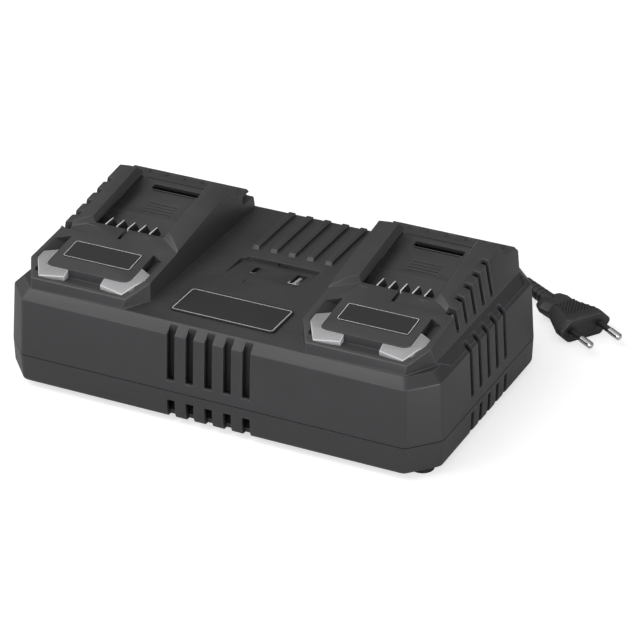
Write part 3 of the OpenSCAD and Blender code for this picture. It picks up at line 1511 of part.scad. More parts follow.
module plug_pins() {
    color(steel_colour) at_pins() {
        translate([0, 0, -pin_root]) cylinder(r = pin_core_r, h = pin_root + sleeve_l + thin);
        translate([0, 0, sleeve_l]) cylinder(r = pin_r, h = pin_l - sleeve_l - pin_tip);
        translate([0, 0, pin_l - pin_tip]) cylinder(r1 = pin_r, r2 = pin_r - pin_tip, h = pin_tip);
    }
}
module pin_sleeves() {
    color(rubber_colour) at_pins() translate([0, 0, -pin_root]) difference() {
        cylinder(r = pin_r - sleeve_step, h = pin_root + sleeve_l);
        translate([0, 0, -fit]) cylinder(r = pin_core_r + fit / 5, h = over);
    }
}

lower_case();
upper_case();
rubber_feet();
case_screws();
name_plate();
rating_plate();
pad_label_left();
pad_label_right();
guide_left_outer();
guide_left_inner();
guide_right_inner();
guide_right_outer();
contact_block_left();
contact_block_right();
contact_blades_left();
contact_blades_right();
led_board_left();
led_board_right();
led_board_screws();
usb_a_shell();
usb_a_tongue();
usb_c_shell();
usb_c_tongue();
usb_board();
usb_board_screws();
main_board();
main_board_screws();
transformer_core();
transformer_winding();
bulk_capacitors();
output_capacitors();
choke_core();
choke_winding();
suppression_capacitor();
fuse();
heatsink_primary();
heatsink_secondary();
power_switches();
output_rectifiers();
bridge_rectifier();
control_chips();
fan_frame();
fan_rotor();
mains_terminal();
mains_leads();
dock_leads_left();
dock_leads_right();
usb_leads();
fan_leads();
strain_relief();
cord_clamp();
clamp_screws();
mains_cord();
cord_coil();
cord_tail();
coil_tie();
plug_body();
plug_pins();
pin_sleeves();
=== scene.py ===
# %% [markdown]
# # A charger with two docks
# The charger stands on a bench and charges two battery packs, which slide onto its
# docks. Its CAD model comes in as a fixed frame in metres. The outside could be modelled
# afresh, but then it might drift from the sizes that were worked out, so everything here
# is laid over the model: moulded edges get their small radius, each piece gets its
# material, and the mains lead becomes a smooth cord.

# %% Load the frame
import bpy, bmesh, math
from mathutils import Matrix, Vector
from mathutils.bvhtree import BVHTree
from mathutils.geometry import delaunay_2d_cdt


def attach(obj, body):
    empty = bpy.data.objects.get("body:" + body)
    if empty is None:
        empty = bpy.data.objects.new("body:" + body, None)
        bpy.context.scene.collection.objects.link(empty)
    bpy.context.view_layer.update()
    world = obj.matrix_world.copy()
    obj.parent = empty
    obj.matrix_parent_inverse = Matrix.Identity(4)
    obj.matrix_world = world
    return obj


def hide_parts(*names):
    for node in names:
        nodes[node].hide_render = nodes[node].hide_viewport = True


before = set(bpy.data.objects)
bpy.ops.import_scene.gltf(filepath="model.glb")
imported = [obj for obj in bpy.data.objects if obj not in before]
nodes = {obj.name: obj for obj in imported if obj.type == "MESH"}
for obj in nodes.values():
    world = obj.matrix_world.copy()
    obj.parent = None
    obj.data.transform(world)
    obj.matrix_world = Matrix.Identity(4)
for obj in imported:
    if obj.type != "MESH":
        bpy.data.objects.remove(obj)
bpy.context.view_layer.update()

MM = 0.001
scene = bpy.context.scene
scene.view_settings.view_transform = "Standard"

# %% [markdown]
# ## Camera
# The photograph was taken from the front right with a long lens, so lines that run away
# from the viewer hardly come together. A camera could be moved by eye until it fits.
# This one was worked out from matching points of both docks, so it is written down as
# the direction back to it, the point that the picture's centre looks at, the distance
# and the lens. Its three axes are the columns of its rotation.

# %% Place the camera
turn, rise = math.radians(25.857), math.radians(28.655)
back = Vector((math.sin(turn) * math.cos(rise), -math.cos(turn) * math.cos(rise),
               math.sin(rise)))
right = Vector((math.cos(turn), math.sin(turn), 0))
up = back.cross(right)
aim = Vector((0, 0, 0.0195)) + right * 0.02471 + up * 0.00863
distance = 1.5916
sensor_width, picture_pixels, focal_pixels = 36, 640, 2993.1

camera_data = bpy.data.cameras.new("camera")
camera_data.sensor_width = sensor_width
camera_data.lens = sensor_width * focal_pixels / picture_pixels
camera_data.clip_start, camera_data.clip_end = 0.05, 20
camera = bpy.data.objects.new("camera", camera_data)
camera.location = aim + back * distance
camera.rotation_euler = Matrix((right, up, back)).transposed().to_euler()
scene.collection.objects.link(camera)
scene.camera = camera
print("camera at", [round(v, 4) for v in camera.location])

# %% [markdown]
# ## Helpers for node trees
# A material is a tree of nodes. It could be drawn in the shader editor, but a script
# gives the same finish every time. Nearly every line of such a script adds a node, sets
# its inputs and joins it to others, so one helper does all three, and the finishes
# further down stay short enough to read.

# %% Add, join and calculate


def new_material(name):
    """An empty node material, its tree and its output node."""
    material = bpy.data.materials.new(name)
    material.use_nodes = True
    tree = material.node_tree
    tree.nodes.clear()
    return material, tree, tree.nodes.new("ShaderNodeOutputMaterial")


def add(tree, kind, **values):
    """A node of this kind. A value is a setting, what an input holds, or a socket to join."""
    node = tree.nodes.new(kind)
    for key, value in values.items():
        label = key.replace("_", " ")
        if label not in node.inputs:
            setattr(node, key, value)
        elif isinstance(value, bpy.types.NodeSocket):
            tree.links.new(value, node.inputs[label])
        else:
            node.inputs[label].default_value = value
    return node


def calc(tree, operation, a, b=None):
    """A Math node over sockets or numbers, and its result."""
    node = add(tree, "ShaderNodeMath", operation=operation)
    for socket, value in zip(node.inputs, (a, b)):
        if isinstance(value, bpy.types.NodeSocket):
            tree.links.new(value, socket)
        elif value is not None:
            socket.default_value = value
    return node.outputs[0]


def reach_along(tree, vector, way):
    """How far a vector socket reaches along a direction."""
    node = add(tree, "ShaderNodeVectorMath", operation="DOT_PRODUCT", Vector=vector)
    node.inputs[1].default_value = way
    return node.outputs["Value"]


def camera_like(tree):
    """One for camera and transmitted rays, and zero for the light that spreads."""
    path = tree.nodes.new("ShaderNodeLightPath")
    return calc(tree, "MAXIMUM", path.outputs["Is Camera Ray"],
                path.outputs["Is Transmission Ray"])


print("node helpers ready")

# %% [markdown]
# ## Paper and sky
# A catalogue picture stands on plain white paper. More light would whiten the paper but
# wash out the dark shell, so the white is for the camera alone: the paper glows and the
# sky is full white where the camera looks straight at them or through a light guide. To
# every other ray the paper is grey and the sky dim, so the shell stays dark and the
# shadow stays on the paper. The dim sky is brightest high over the charger's front left.

# %% Lay the paper
paper_grey, paper_glow, paper_reach = 0.62, 0.62, 4

paper, tree, output = new_material("white_paper")
sheet = add(tree, "ShaderNodeBsdfDiffuse", Color=(paper_grey, paper_grey, paper_grey, 1))
glow = add(tree, "ShaderNodeEmission",
           Strength=calc(tree, "MULTIPLY", camera_like(tree), paper_glow))
both = tree.nodes.new("ShaderNodeAddShader")
tree.links.new(sheet.outputs[0], both.inputs[0])
tree.links.new(glow.outputs[0], both.inputs[1])
tree.links.new(both.outputs[0], output.inputs["Surface"])

bm = bmesh.new()
bmesh.ops.create_grid(bm, x_segments=1, y_segments=1, size=paper_reach)
floor_mesh = bpy.data.meshes.new("floor")
bm.to_mesh(floor_mesh)
bm.free()
floor = bpy.data.objects.new("floor", floor_mesh)
floor.data.materials.append(paper)
scene.collection.objects.link(floor)
print("paper reaches", paper_reach, "m each way")

# %% Make the sky
brightest_way = Vector((-0.38, -0.48, 0.79)).normalized()
sky_dim, sky_bright, sky_to_camera = 0.20, 0.90, 1.3

world = bpy.data.worlds.new("studio")
scene.world = world
world.use_nodes = True
tree = world.node_tree
tree.nodes.clear()
way = tree.nodes.new("ShaderNodeTexCoord").outputs["Generated"]
dome = add(tree, "ShaderNodeMapRange", Value=reach_along(tree, way, brightest_way),
           From_Min=0.1, To_Min=sky_dim, To_Max=sky_bright)
seen = add(tree, "ShaderNodeMapRange", Value=camera_like(tree),
           To_Min=dome.outputs["Result"], To_Max=sky_to_camera)
sky = add(tree, "ShaderNodeBackground", Strength=seen.outputs["Result"])
output = tree.nodes.new("ShaderNodeOutputWorld")
tree.links.new(sky.outputs[0], output.inputs["Surface"])
print("sky from", sky_dim, "to", sky_bright)

# %% [markdown]
# ## Lamps
# Small lamps would leave hard glints and black shadows on a shell as dark as this. Four
# square soft boxes nearly a metre wide, above and left, in front, and low on the right,
# give each softened edge a long quiet highlight instead. Every box faces the charger.

# %% Hang the lamps
lamps = {
    "top_box": ((-0.5, -0.6, 1.2), 0.8, 6),
    "left_box": ((-1.5, -0.5, 0.9), 0.9, 5),
    "front_box": ((0.3, -1.6, 0.7), 0.8, 7),
    "right_box": ((1.7, -0.5, 0.3), 0.8, 12),
}
lit_point = Vector((0, 0, 0.04))
for name, (place, size, power) in lamps.items():
    data = bpy.data.lights.new(name, "AREA")
    data.shape, data.size, data.energy = "SQUARE", size, power
    lamp = bpy.data.objects.new(name, data)
    lamp.location = place
    lamp.rotation_euler = (Vector(place) - lit_point).to_track_quat("Z", "Y").to_euler()
    scene.collection.objects.link(lamp)

# %% [markdown]
# ## Node groups that the finishes share
# Moulded plastic has a fine grain, a faint cloudiness, polished edges with a painted
# highlight and dust on what faces upward. The nodes for these could be repeated in each
# material, but as groups with named inputs they are built once, and each material sets
# its own values.

# %% Start a group
FLOAT, VECTOR = "NodeSocketFloat", "NodeSocketVector"


def new_group(name, inputs, outputs):
    """A shader node group with named sockets, and its input and output nodes."""
    group = bpy.data.node_groups.new(name, "ShaderNodeTree")
    for label, kind, value in inputs:
        socket = group.interface.new_socket(label, in_out="INPUT", socket_type=kind)
        if value is not None:
            socket.default_value = value
    for label, kind in outputs:
        group.interface.new_socket(label, in_out="OUTPUT", socket_type=kind)
    return group, group.nodes.new("NodeGroupInput"), group.nodes.new("NodeGroupOutput")


print("groups can start")

# %% [markdown]
# ### The moulded grain
# Sparks eat the steel of a mould, and the plastic takes over its fine matt grain. A
# picture of grain would blur close up, so a noise gives the swells and a cell pattern
# the pits. The tone follows two things: a slow cloud where the melt flowed, and a speck
# that goes with the grain.

# %% Build the grain
pit_scale, pit_share = 0.8, 0.4
middle_fac, speck_share = 0.5, 0.5

grain, source, sink = new_group(
    "Moulded Grain",
    [("Vector", VECTOR, None), ("Scale", FLOAT, 1500.0), ("Cloud", FLOAT, 0.5)],
    [("Height", FLOAT), ("Tone", FLOAT)])
where, scale = source.outputs["Vector"], source.outputs["Scale"]
fine = add(grain, "ShaderNodeTexNoise", Vector=where, Scale=scale, Detail=3.0,
           Roughness=0.6)
pits = add(grain, "ShaderNodeTexVoronoi", feature="F1", Vector=where,
           Scale=calc(grain, "MULTIPLY", scale, pit_scale))
pitted = calc(grain, "MULTIPLY", pits.outputs["Distance"], pit_share)
grain.links.new(calc(grain, "ADD", fine.outputs["Fac"], pitted), sink.inputs["Height"])

cloud = add(grain, "ShaderNodeTexNoise", Vector=where, Scale=28.0, Detail=4.0,
            Roughness=0.55)
drift = calc(grain, "SUBTRACT", cloud.outputs["Fac"], middle_fac)
drift = calc(grain, "MULTIPLY", drift, source.outputs["Cloud"])
speck = calc(grain, "SUBTRACT", fine.outputs["Fac"], middle_fac)
speck = calc(grain, "MULTIPLY", speck, speck_share)
tone = calc(grain, "ADD", 1.0, calc(grain, "ADD", drift, speck))
grain.links.new(tone, sink.inputs["Tone"])
print("group", grain.name)

# %% [markdown]
# ### Edge shine
# Hands and packs polish the edges of a charger, so the mask made here lowers their
# roughness, and it also paints a highlight on them as a lighter colour. The Pointiness of
# a mesh could find the edges, but it depends on how finely the mesh is cut, and these
# meshes have long thin faces. So the faces that the bevels make carry the attribute edge,
# which is one on them and zero elsewhere. A noise breaks the shine up, because handling
# isn't even.

# %% Build the edge shine
least_shine = 0.4

shine, source, sink = new_group(
    "Edge Shine",
    [("Vector", VECTOR, None), ("Edge", FLOAT, 0.0), ("Amount", FLOAT, 0.5)],
    [("Mask", FLOAT)])
breaks = add(shine, "ShaderNodeTexNoise", Vector=source.outputs["Vector"], Scale=120.0,
             Detail=3.0)
uneven = calc(shine, "ADD", least_shine, breaks.outputs["Fac"])
polish_and_sheen = calc(shine, "MULTIPLY", source.outputs["Edge"], uneven)
shine.links.new(calc(shine, "MULTIPLY", polish_and_sheen, source.outputs["Amount"]),
                sink.inputs["Mask"])
print("group", shine.name)

# %% [markdown]
# ### Dust in the open
# A little dust lies on every charger in use. It could be particles, but so thin a layer
# is only a paler tone. It covers what faces upward, and most of all where a slow noise
# lets it.

# %% Build the dust
dust_starts, dust_full = 0.6, 1.0

dust, source, sink = new_group(
    "Settled Dust", [("Vector", VECTOR, None), ("Amount", FLOAT, 0.1)], [("Mask", FLOAT)])
facing = dust.nodes.new("ShaderNodeNewGeometry").outputs["Normal"]
split = add(dust, "ShaderNodeSeparateXYZ", Vector=facing)
level = add(dust, "ShaderNodeMapRange", Value=split.outputs["Z"], From_Min=dust_starts,
            From_Max=dust_full)
patch = add(dust, "ShaderNodeTexNoise", Vector=source.outputs["Vector"], Scale=60.0,
            Detail=6.0, Roughness=0.7)
cover = calc(dust, "MULTIPLY", level.outputs["Result"], patch.outputs["Fac"])
dust.links.new(calc(dust, "MULTIPLY", cover, source.outputs["Amount"]),
               sink.inputs["Mask"])
print("group", dust.name)

# %% [markdown]
# ## Moulded finishes
# The shell, the labels, the feet, the cord and the plug are all moulded or extruded, and
# differ in colour, grain and shine only. Each could have a tree of its own, but one
# function with a few numbers keeps them alike where they should be: grain in the relief,
# cloudy tone, polished edges with a painted highlight and some dust.

# %% Helpers for a finish
colour_a, colour_b, colour_result = 6, 7, 2


def place_on(tree):
    """The object's own coordinates, on which every pattern lies."""
    return tree.nodes.new("ShaderNodeTexCoord").outputs["Object"]


def edge_mark(tree):
    """One on the faces that the bevels made."""
    return add(tree, "ShaderNodeAttribute", attribute_name="edge").outputs["Fac"]


def use(tree, group, **values):
    """A copy of a shared group with its own values."""
    return add(tree, "ShaderNodeGroup", node_tree=group, **values)


def scaled_colour(tree, colour, factor):
    """The colour times a factor that changes over the surface."""
    return add(tree, "ShaderNodeVectorMath", operation="SCALE", Vector=colour,
               Scale=factor).outputs[0]


def mixed(tree, factor, a, b):
    """A colour mix of a and b, each a socket or a colour."""
    node = add(tree, "ShaderNodeMix", data_type="RGBA", Factor=factor)
    for index, value in ((colour_a, a), (colour_b, b)):
        if isinstance(value, bpy.types.NodeSocket):
            tree.links.new(value, node.inputs[index])
        else:
            node.inputs[index].default_value = (*value, 1)
    return node.outputs[colour_result]


def set_relief(tree, shader, height, strength, depth):
    """Gives the shader a relief of this depth from a height."""
    bump = add(tree, "ShaderNodeBump", Strength=strength, Distance=depth, Height=height)
    tree.links.new(bump.outputs["Normal"], shader.inputs["Normal"])


print("finish helpers ready")

# %% A moulded finish
# The first two numbers paint a highlight on the bevelled edges as a lighter colour; the third
# makes the polished edges less rough.
sheen_gain, sheen_lift, worn_polish = 1.9, 0.01, 0.12
dust_colour = (0.35, 0.34, 0.33)
mottle = 0.4
grain_strength = 0.6


def moulded(name, colour, rough=0.5, scale=1500.0, depth=0.00004, cloud=0.25, edge=0.5,
            dusty=0.08):
    """Moulded plastic or rubber, with a grain of this scale and depth."""
    material, tree, output = new_material(name)
    where = place_on(tree)
    skin = use(tree, grain, Vector=where, Scale=scale, Cloud=cloud)
    polish_and_sheen = use(tree, shine, Vector=where, Edge=edge_mark(tree), Amount=edge)
    polish_and_sheen = polish_and_sheen.outputs["Mask"]
    lying = use(tree, dust, Vector=where, Amount=dusty).outputs["Mask"]
    base = scaled_colour(tree, colour, skin.outputs["Tone"])
    # Painted highlight: the bevelled edges get a lighter colour.
    base = mixed(tree, polish_and_sheen, base, [min(1, c * sheen_gain + sheen_lift) for c in colour])
    base = mixed(tree, lying, base, dust_colour)
    matt = calc(tree, "SUBTRACT", rough, calc(tree, "MULTIPLY", polish_and_sheen, worn_polish))
    uneven = calc(tree, "SUBTRACT", skin.outputs["Tone"], 1.0)
    matt = calc(tree, "ADD", matt, calc(tree, "MULTIPLY", uneven, mottle))
    shader = add(tree, "ShaderNodeBsdfPrincipled", Base_Color=base, Roughness=matt)
    set_relief(tree, shader, skin.outputs["Height"], grain_strength, depth)
    tree.links.new(shader.outputs[0], output.inputs["Surface"])
    return material


print("moulded finish ready, dust", dust_colour)

# %% The moulded finishes of the outside
shell = moulded("shell_plastic", (0.034, 0.034, 0.0365), rough=0.44, depth=0.00006,
                edge=0.45)
label_skin = moulded("label_foil", (0.018, 0.018, 0.020), rough=0.34, scale=3000,
                     depth=0.00001, cloud=0.1, dusty=0.03)
plate_skin = moulded("plate_plastic", (0.022, 0.022, 0.024), rough=0.30, scale=2600,
                     depth=0.00001, cloud=0.1, dusty=0.03)
rubber = moulded("foot_rubber", (0.012, 0.012, 0.013), rough=0.75, scale=900,
                 depth=0.00008)
jacket = moulded("cord_jacket", (0.016, 0.016, 0.018), rough=0.42, scale=800,
                 depth=0.00003, edge=0.2)
plug_skin = moulded("plug_plastic", (0.017, 0.017, 0.019), rough=0.44, scale=1300,
                    depth=0.00005)
dark_block = moulded("dark_block", (0.010, 0.010, 0.011), rough=0.6, scale=2000,
                     depth=0.00003)
grey_tongue = moulded("grey_tongue", (0.42, 0.43, 0.45), rough=0.5, scale=2500,
                      depth=0.00002)
print("moulded finishes of the outside ready")

# %% [markdown]
# ## Frosted light guides
# The two guides beside each dock's label are milky plastic that carries the light of
# small lamps from behind the wall. Clear glass would show the dark case through them,
# and plain white would look like paint. So a quarter of the light goes through, some of
# it scatters under the skin, the faces that look up get a painted shade, the sides a
# painted light, and the softened edges a painted highlight.

# %% Build the frosted finish
# The second colour is a painted highlight for the softened edges.
core_colour, painted_rim_highlight = (0.52, 0.52, 0.53), (0.85, 0.85, 0.86)
side_light, top_shade = 1.15, 0.35
frost_rough, frost_strength, frost_depth = 0.38, 0.5, 0.00005

frost, tree, output = new_material("frosted_guide")
skin = use(tree, grain, Vector=place_on(tree), Scale=1800.0, Cloud=0.5)
facing = tree.nodes.new("ShaderNodeTexCoord").outputs["Normal"]
tilt = add(tree, "ShaderNodeSeparateXYZ", Vector=facing)
# The faces that look up get a painted shade and the sides a painted light.
shade = calc(tree, "MULTIPLY", tilt.outputs["Z"], top_shade)
lit = calc(tree, "SUBTRACT", side_light, shade)
lit = calc(tree, "MULTIPLY", skin.outputs["Tone"], lit)
# The softened edges get a painted highlight.
painted_milky_colour = mixed(tree, edge_mark(tree), scaled_colour(tree, core_colour, lit), painted_rim_highlight)
shader = add(tree, "ShaderNodeBsdfPrincipled", IOR=1.5, Transmission_Weight=0.25,
             Subsurface_Weight=0.2, Subsurface_Radius=(0.003, 0.003, 0.003),
             Base_Color=painted_milky_colour,
             Roughness=calc(tree, "MULTIPLY", skin.outputs["Tone"], frost_rough))
set_relief(tree, shader, skin.outputs["Height"], frost_strength, frost_depth)
tree.links.new(shader.outputs[0], output.inputs["Surface"])
print("frosted guide ready")

# %% [markdown]
# ## Metals
# Rolling, drawing and brushing leave fine lines along one direction. Blender's
# anisotropic gloss could hint at them, but it wants tangents, so a noise that is
# stretched along the lines changes the roughness and the relief. Two metals need more:
# the plated contact blades scatter light like chalk and get a painted shade on their flat
# sides, and the socket shells get a painted shade below their bright rim, where they stand
# in deep holes.

# %% A metal finish
# The second number is the darkest painted shade deep in a socket's hole.
stain, darkest_hole_shade = 0.15, 0.04
line_rough, line_strength, line_depth = 0.2, 0.4, 0.00002


def metal(name, colour, rough=0.3, along=(1, 12, 12), scale=260.0, side_shade=0.0, hole_shade=None,
          chalk=0.0):
    """Metal with fine lines, which run where the numbers in along are small.

    The side shade is a painted shade: how much darker the faces are that look along X.
    The hole shade is a painted shade for metal deep in a hole: a direction, a height
    along it and a reach, and the metal is painted dark more than the reach under that
    height. Chalk is the share of the light that scatters as on a matt plating.
    """
    material, tree, output = new_material(name)
    where = place_on(tree)
    stretch = add(tree, "ShaderNodeMapping", Vector=where, Scale=along)
    lines = add(tree, "ShaderNodeTexNoise", Vector=stretch.outputs[0], Scale=scale,
                Detail=4.0, Roughness=0.65)
    blot = add(tree, "ShaderNodeTexNoise", Vector=where, Scale=90.0, Detail=5.0)
    tone = calc(tree, "SUBTRACT", blot.outputs["Fac"], middle_fac)
    tone = calc(tree, "ADD", 1.0, calc(tree, "MULTIPLY", tone, stain * 2))
    # Painted shade on the faces that look along X.
    if side_shade:
        facing = tree.nodes.new("ShaderNodeTexCoord").outputs["Normal"]
        sides = add(tree, "ShaderNodeSeparateXYZ", Vector=facing)
        flat = calc(tree, "MULTIPLY", calc(tree, "ABSOLUTE", sides.outputs["X"]), side_shade)
        tone = calc(tree, "MULTIPLY", tone, calc(tree, "SUBTRACT", 1.0, flat))
    # Painted shade on the metal below the rim, deep in the hole.
    if hole_shade:
        way, top, reach = hole_shade
        hole_shade_ramp = add(tree, "ShaderNodeMapRange", Value=reach_along(tree, where, way),
                    From_Min=top - reach, From_Max=top, To_Min=darkest_hole_shade)
        tone = calc(tree, "MULTIPLY", tone, hole_shade_ramp.outputs["Result"])
    brushed = calc(tree, "MULTIPLY", lines.outputs["Fac"], line_rough)
    shader = add(tree, "ShaderNodeBsdfPrincipled", Metallic=1.0 - chalk,
                 Base_Color=scaled_colour(tree, colour, tone),
                 Roughness=calc(tree, "ADD", rough - line_rough / 2, brushed))
    set_relief(tree, shader, lines.outputs["Fac"], line_strength, line_depth)
    tree.links.new(shader.outputs[0], output.inputs["Surface"])
    return material


print("metal finish ready, lines", line_depth, "m deep")

# %% The metals
# The blades' flat sides get a painted shade.
silver = metal("contact_silver", (0.95, 0.95, 0.94), rough=0.36, side_shade=0.95, chalk=0.7)
# The socket shells get a painted shade below their rim; these lines find the rim's height.
lean = math.radians(5.94)
recess_up = (0, -math.sin(lean), math.cos(lean))
shell_points = [v.co for v in nodes["usb_a_shell"].data.vertices]
socket_top = max(point.dot(Vector(recess_up)) for point in shell_points)
socket_metal = metal("socket_metal", (0.95, 0.95, 0.95), rough=0.3,
                     hole_shade=(recess_up, socket_top, 0.0009), chalk=0.7)
nickel = metal("pin_nickel", (0.74, 0.74, 0.73), rough=0.2, along=(4, 1, 12))
steel = metal("screw_steel", (0.55, 0.55, 0.56), rough=0.35, along=(1, 1, 8))
sink_metal = metal("sink_aluminium", (0.66, 0.67, 0.69), rough=0.38, along=(8, 1, 8))
foil = metal("rating_foil", (0.70, 0.70, 0.71), rough=0.42, along=(1, 9, 1), scale=400)
print("metals ready, sockets end at", round(socket_top, 4))

# %% [markdown]
# ## The parts behind the slots
# Boards, windings and capacitors show only as glints through the slots. Grey would do
# for that, but the model is also looked at piece by piece, so they have their own
# finishes: lacquered board with tracks, tape and wire in turns, and coloured sleeves
# and cases. Turns are bands of two tones with a relief, which cost no faces; the darker
# tone lies in the low grooves between turns as a painted shade.

# %% Turns of tape and wire


def banded(name, colour, dark, axis, pitch, rough=0.35):
    """Tape or wire in turns at the pitch along one axis, with painted shade in the grooves.
    """
    material, tree, output = new_material(name)
    split = add(tree, "ShaderNodeSeparateXYZ", Vector=place_on(tree))
    phase = calc(tree, "MULTIPLY", split.outputs[axis], 2 * math.pi / pitch)
    wave = calc(tree, "MULTIPLY", calc(tree, "SINE", phase), 0.5)
    ridge = calc(tree, "ADD", 0.5, wave)
    # Painted shade: the darker tone falls where the relief is low, in the grooves.
    shader = add(tree, "ShaderNodeBsdfPrincipled", Roughness=rough,
                 Base_Color=mixed(tree, ridge, dark, colour))
    set_relief(tree, shader, ridge, 0.8, pitch / 4)
    tree.links.new(shader.outputs[0], output.inputs["Surface"])
    return material


tape = banded("winding_tape", (0.62, 0.42, 0.06), (0.45, 0.28, 0.03), "Z", 0.0011)
turns = banded("choke_turns", (0.70, 0.33, 0.15), (0.28, 0.10, 0.04), "X", 0.0014, 0.25)
print("windings ready")

# %% Lacquered board
board, tree, output = new_material("board_lacquer")
tracks = add(tree, "ShaderNodeTexBrick", Vector=place_on(tree), Scale=90.0,
             Color1=(0.010, 0.080, 0.035, 1), Color2=(0.014, 0.105, 0.048, 1),
             Mortar=(0.030, 0.170, 0.080, 1))
shader = add(tree, "ShaderNodeBsdfPrincipled", Roughness=0.35,
             Base_Color=tracks.outputs["Color"])
set_relief(tree, shader, tracks.outputs["Fac"], 0.5, 0.00005)
tree.links.new(shader.outputs[0], output.inputs["Surface"])
print("board ready")

# %% Sleeves, cases and leads
sleeve = moulded("capacitor_sleeve", (0.014, 0.020, 0.045), rough=0.28, scale=2500,
                 depth=0.00001)
yellow = moulded("yellow_case", (0.60, 0.40, 0.03), rough=0.4, scale=1800, depth=0.00002)
ferrite = moulded("ferrite", (0.035, 0.035, 0.037), rough=0.65, scale=1200,
                  depth=0.00005)
package = moulded("chip_package", (0.014, 0.014, 0.015), rough=0.55, scale=2200,
                  depth=0.00002)
terminal = moulded("terminal_plastic", (0.48, 0.48, 0.46), rough=0.5, scale=1600,
                   depth=0.00003)
red_lead = moulded("red_lead", (0.30, 0.020, 0.016), rough=0.4, depth=0.00001)
tie_skin = moulded("tie_plastic", (0.030, 0.030, 0.032), rough=0.4, depth=0.00002)
fuse_glass = moulded("fuse_ceramic", (0.62, 0.61, 0.57), rough=0.3, scale=2500,
                     depth=0.00001)
print("inner finishes ready")

# %% [markdown]
# ## A finish for every node
# The CAD nodes come with plain colours. A node whose shape is right keeps its mesh and
# gets a better material in its slots. Nodes that a new piece replaces later are in the
# list too, so that nothing stays plain if such a piece is taken out. Only the three
# nodes of the mains lead are missing, because the lead is drawn as one curve.

# %% Dress the nodes
finishes = {
    silver: ["contact_blades_left", "contact_blades_right"],
    socket_metal: ["usb_a_shell", "usb_c_shell"],
    grey_tongue: ["usb_a_tongue"],
    dark_block: ["contact_block_left", "contact_block_right", "usb_c_tongue", "pin_sleeves",
                 "fan_frame", "fan_rotor"],
    steel: ["case_screws", "led_board_screws", "usb_board_screws", "main_board_screws",
            "clamp_screws", "cord_clamp"],
    nickel: ["plug_pins"],
    sink_metal: ["heatsink_primary", "heatsink_secondary"],
    foil: ["rating_plate"],
    board: ["led_board_left", "led_board_right", "usb_board", "main_board"],
    tape: ["transformer_winding"],
    turns: ["choke_winding"],
    sleeve: ["bulk_capacitors", "output_capacitors"],
    yellow: ["suppression_capacitor"],
    ferrite: ["transformer_core", "choke_core"],
    package: ["power_switches", "output_rectifiers", "bridge_rectifier", "control_chips"],
    terminal: ["mains_terminal"],
    red_lead: ["dock_leads_left", "dock_leads_right", "usb_leads", "fan_leads"],
    jacket: ["mains_leads", "strain_relief"],
    fuse_glass: ["fuse"],
    tie_skin: ["coil_tie"],
    plug_skin: ["plug_body"],
    rubber: ["rubber_feet"],
    frost: ["guide_left_outer", "guide_left_inner", "guide_right_inner",
            "guide_right_outer"],
    plate_skin: ["name_plate"],
    label_skin: ["pad_label_left", "pad_label_right"],
    shell: ["lower_case", "upper_case"],
}


def dress(obj, material):
    """Puts the material in the object's slots, or in a new one where it has none."""
    if not obj.material_slots:
        obj.data.materials.append(material)
    for slot in obj.material_slots:
        slot.material = material


for material, names in finishes.items():
    for name in names:
        dress(nodes[name], material)
print("dressed", sum(len(names) for names in finishes.values()), "of", len(nodes))

# %% [markdown]
# ## Soft edges
# No moulded edge is knife sharp, and it is the small radius that catches the light. A
# Bevel modifier would be quick, but a CAD mesh is loose triangles with very short edges
# here and there, beside which a bevel runs wild. So a copy of each outer node is merged
# into one clean mesh, its flat faces are joined, and its sharp edges are bevelled by a
# few tenths of a millimetre. Where a new point strays from the old surface, the edges
# near it stay sharp and the bevel is made again.

# %% Clean a copy
same_spot, flat_within = 2e-6, math.radians(0.5)


def clean_copy(name):
    """The node as one bmesh with its flat faces joined."""
    bm = bmesh.new()
    bm.from_mesh(nodes[name].data)
    bmesh.ops.remove_doubles(bm, verts=bm.verts, dist=same_spot)
    bmesh.ops.dissolve_limit(bm, angle_limit=flat_within, verts=bm.verts, edges=bm.edges)
    return bm


print("upper case", len(nodes["upper_case"].data.polygons), "triangles")

# %% [markdown]
# A face with many corners is drawn as triangles. Where a bevel has made its outline
# cross itself beside a very short edge, these triangles overlap, and their summed area
# is more than the face's own. Such a face is taken out and filled again with triangles
# that keep inside the outline. A new face takes a freed place among the others, and not
# the same one each run. So the new ones are numbered after the old, and all are sorted.

# %% Fill crossed faces again
only_inside, nearness = 1, 1e-8
area_excess = 1.01


def refill(bm):
    """Fills each face again whose triangles overlap, and counts them."""
    bm.faces.index_update()
    number, areas = len(bm.faces), {}
    for corners in bm.calc_loop_triangles():
        a, b, c = (corner.vert.co for corner in corners)
        face = corners[0].face
        areas[face] = areas.get(face, 0) + (b - a).cross(c - a).length / 2
    crossed = [face for face, area in areas.items()
               if len(face.verts) > 4 and area > face.calc_area() * area_excess]
    for face in crossed:
        upright = face.normal.to_track_quat("Z", "Y")
        corners = list(face.verts)
        flat = [upright.inverted() @ v.co for v in corners]
        spots, _, triangles, origins, _, _ = delaunay_2d_cdt(
            [p.xy for p in flat], [], [range(len(flat))], only_inside, nearness)
        verts = [corners[old[0]] if old else
                 bm.verts.new(upright @ Vector((*spot, flat[0].z)))
                 for spot, old in zip(spots, origins)]
        bm.faces.remove(face)
        for triangle in triangles:
            bm.faces.new([verts[i] for i in triangle]).index = number
            number += 1
    bm.faces.sort()
    return len(crossed)


print("refill ready")

# %% Bevel the sharp edges
rounds, same_middle = 5, 1e-6
stray_share, near_share = 0.8, 3


def middle_of(edge):
    """The middle of an edge."""
    return (edge.verts[0].co + edge.verts[1].co) / 2


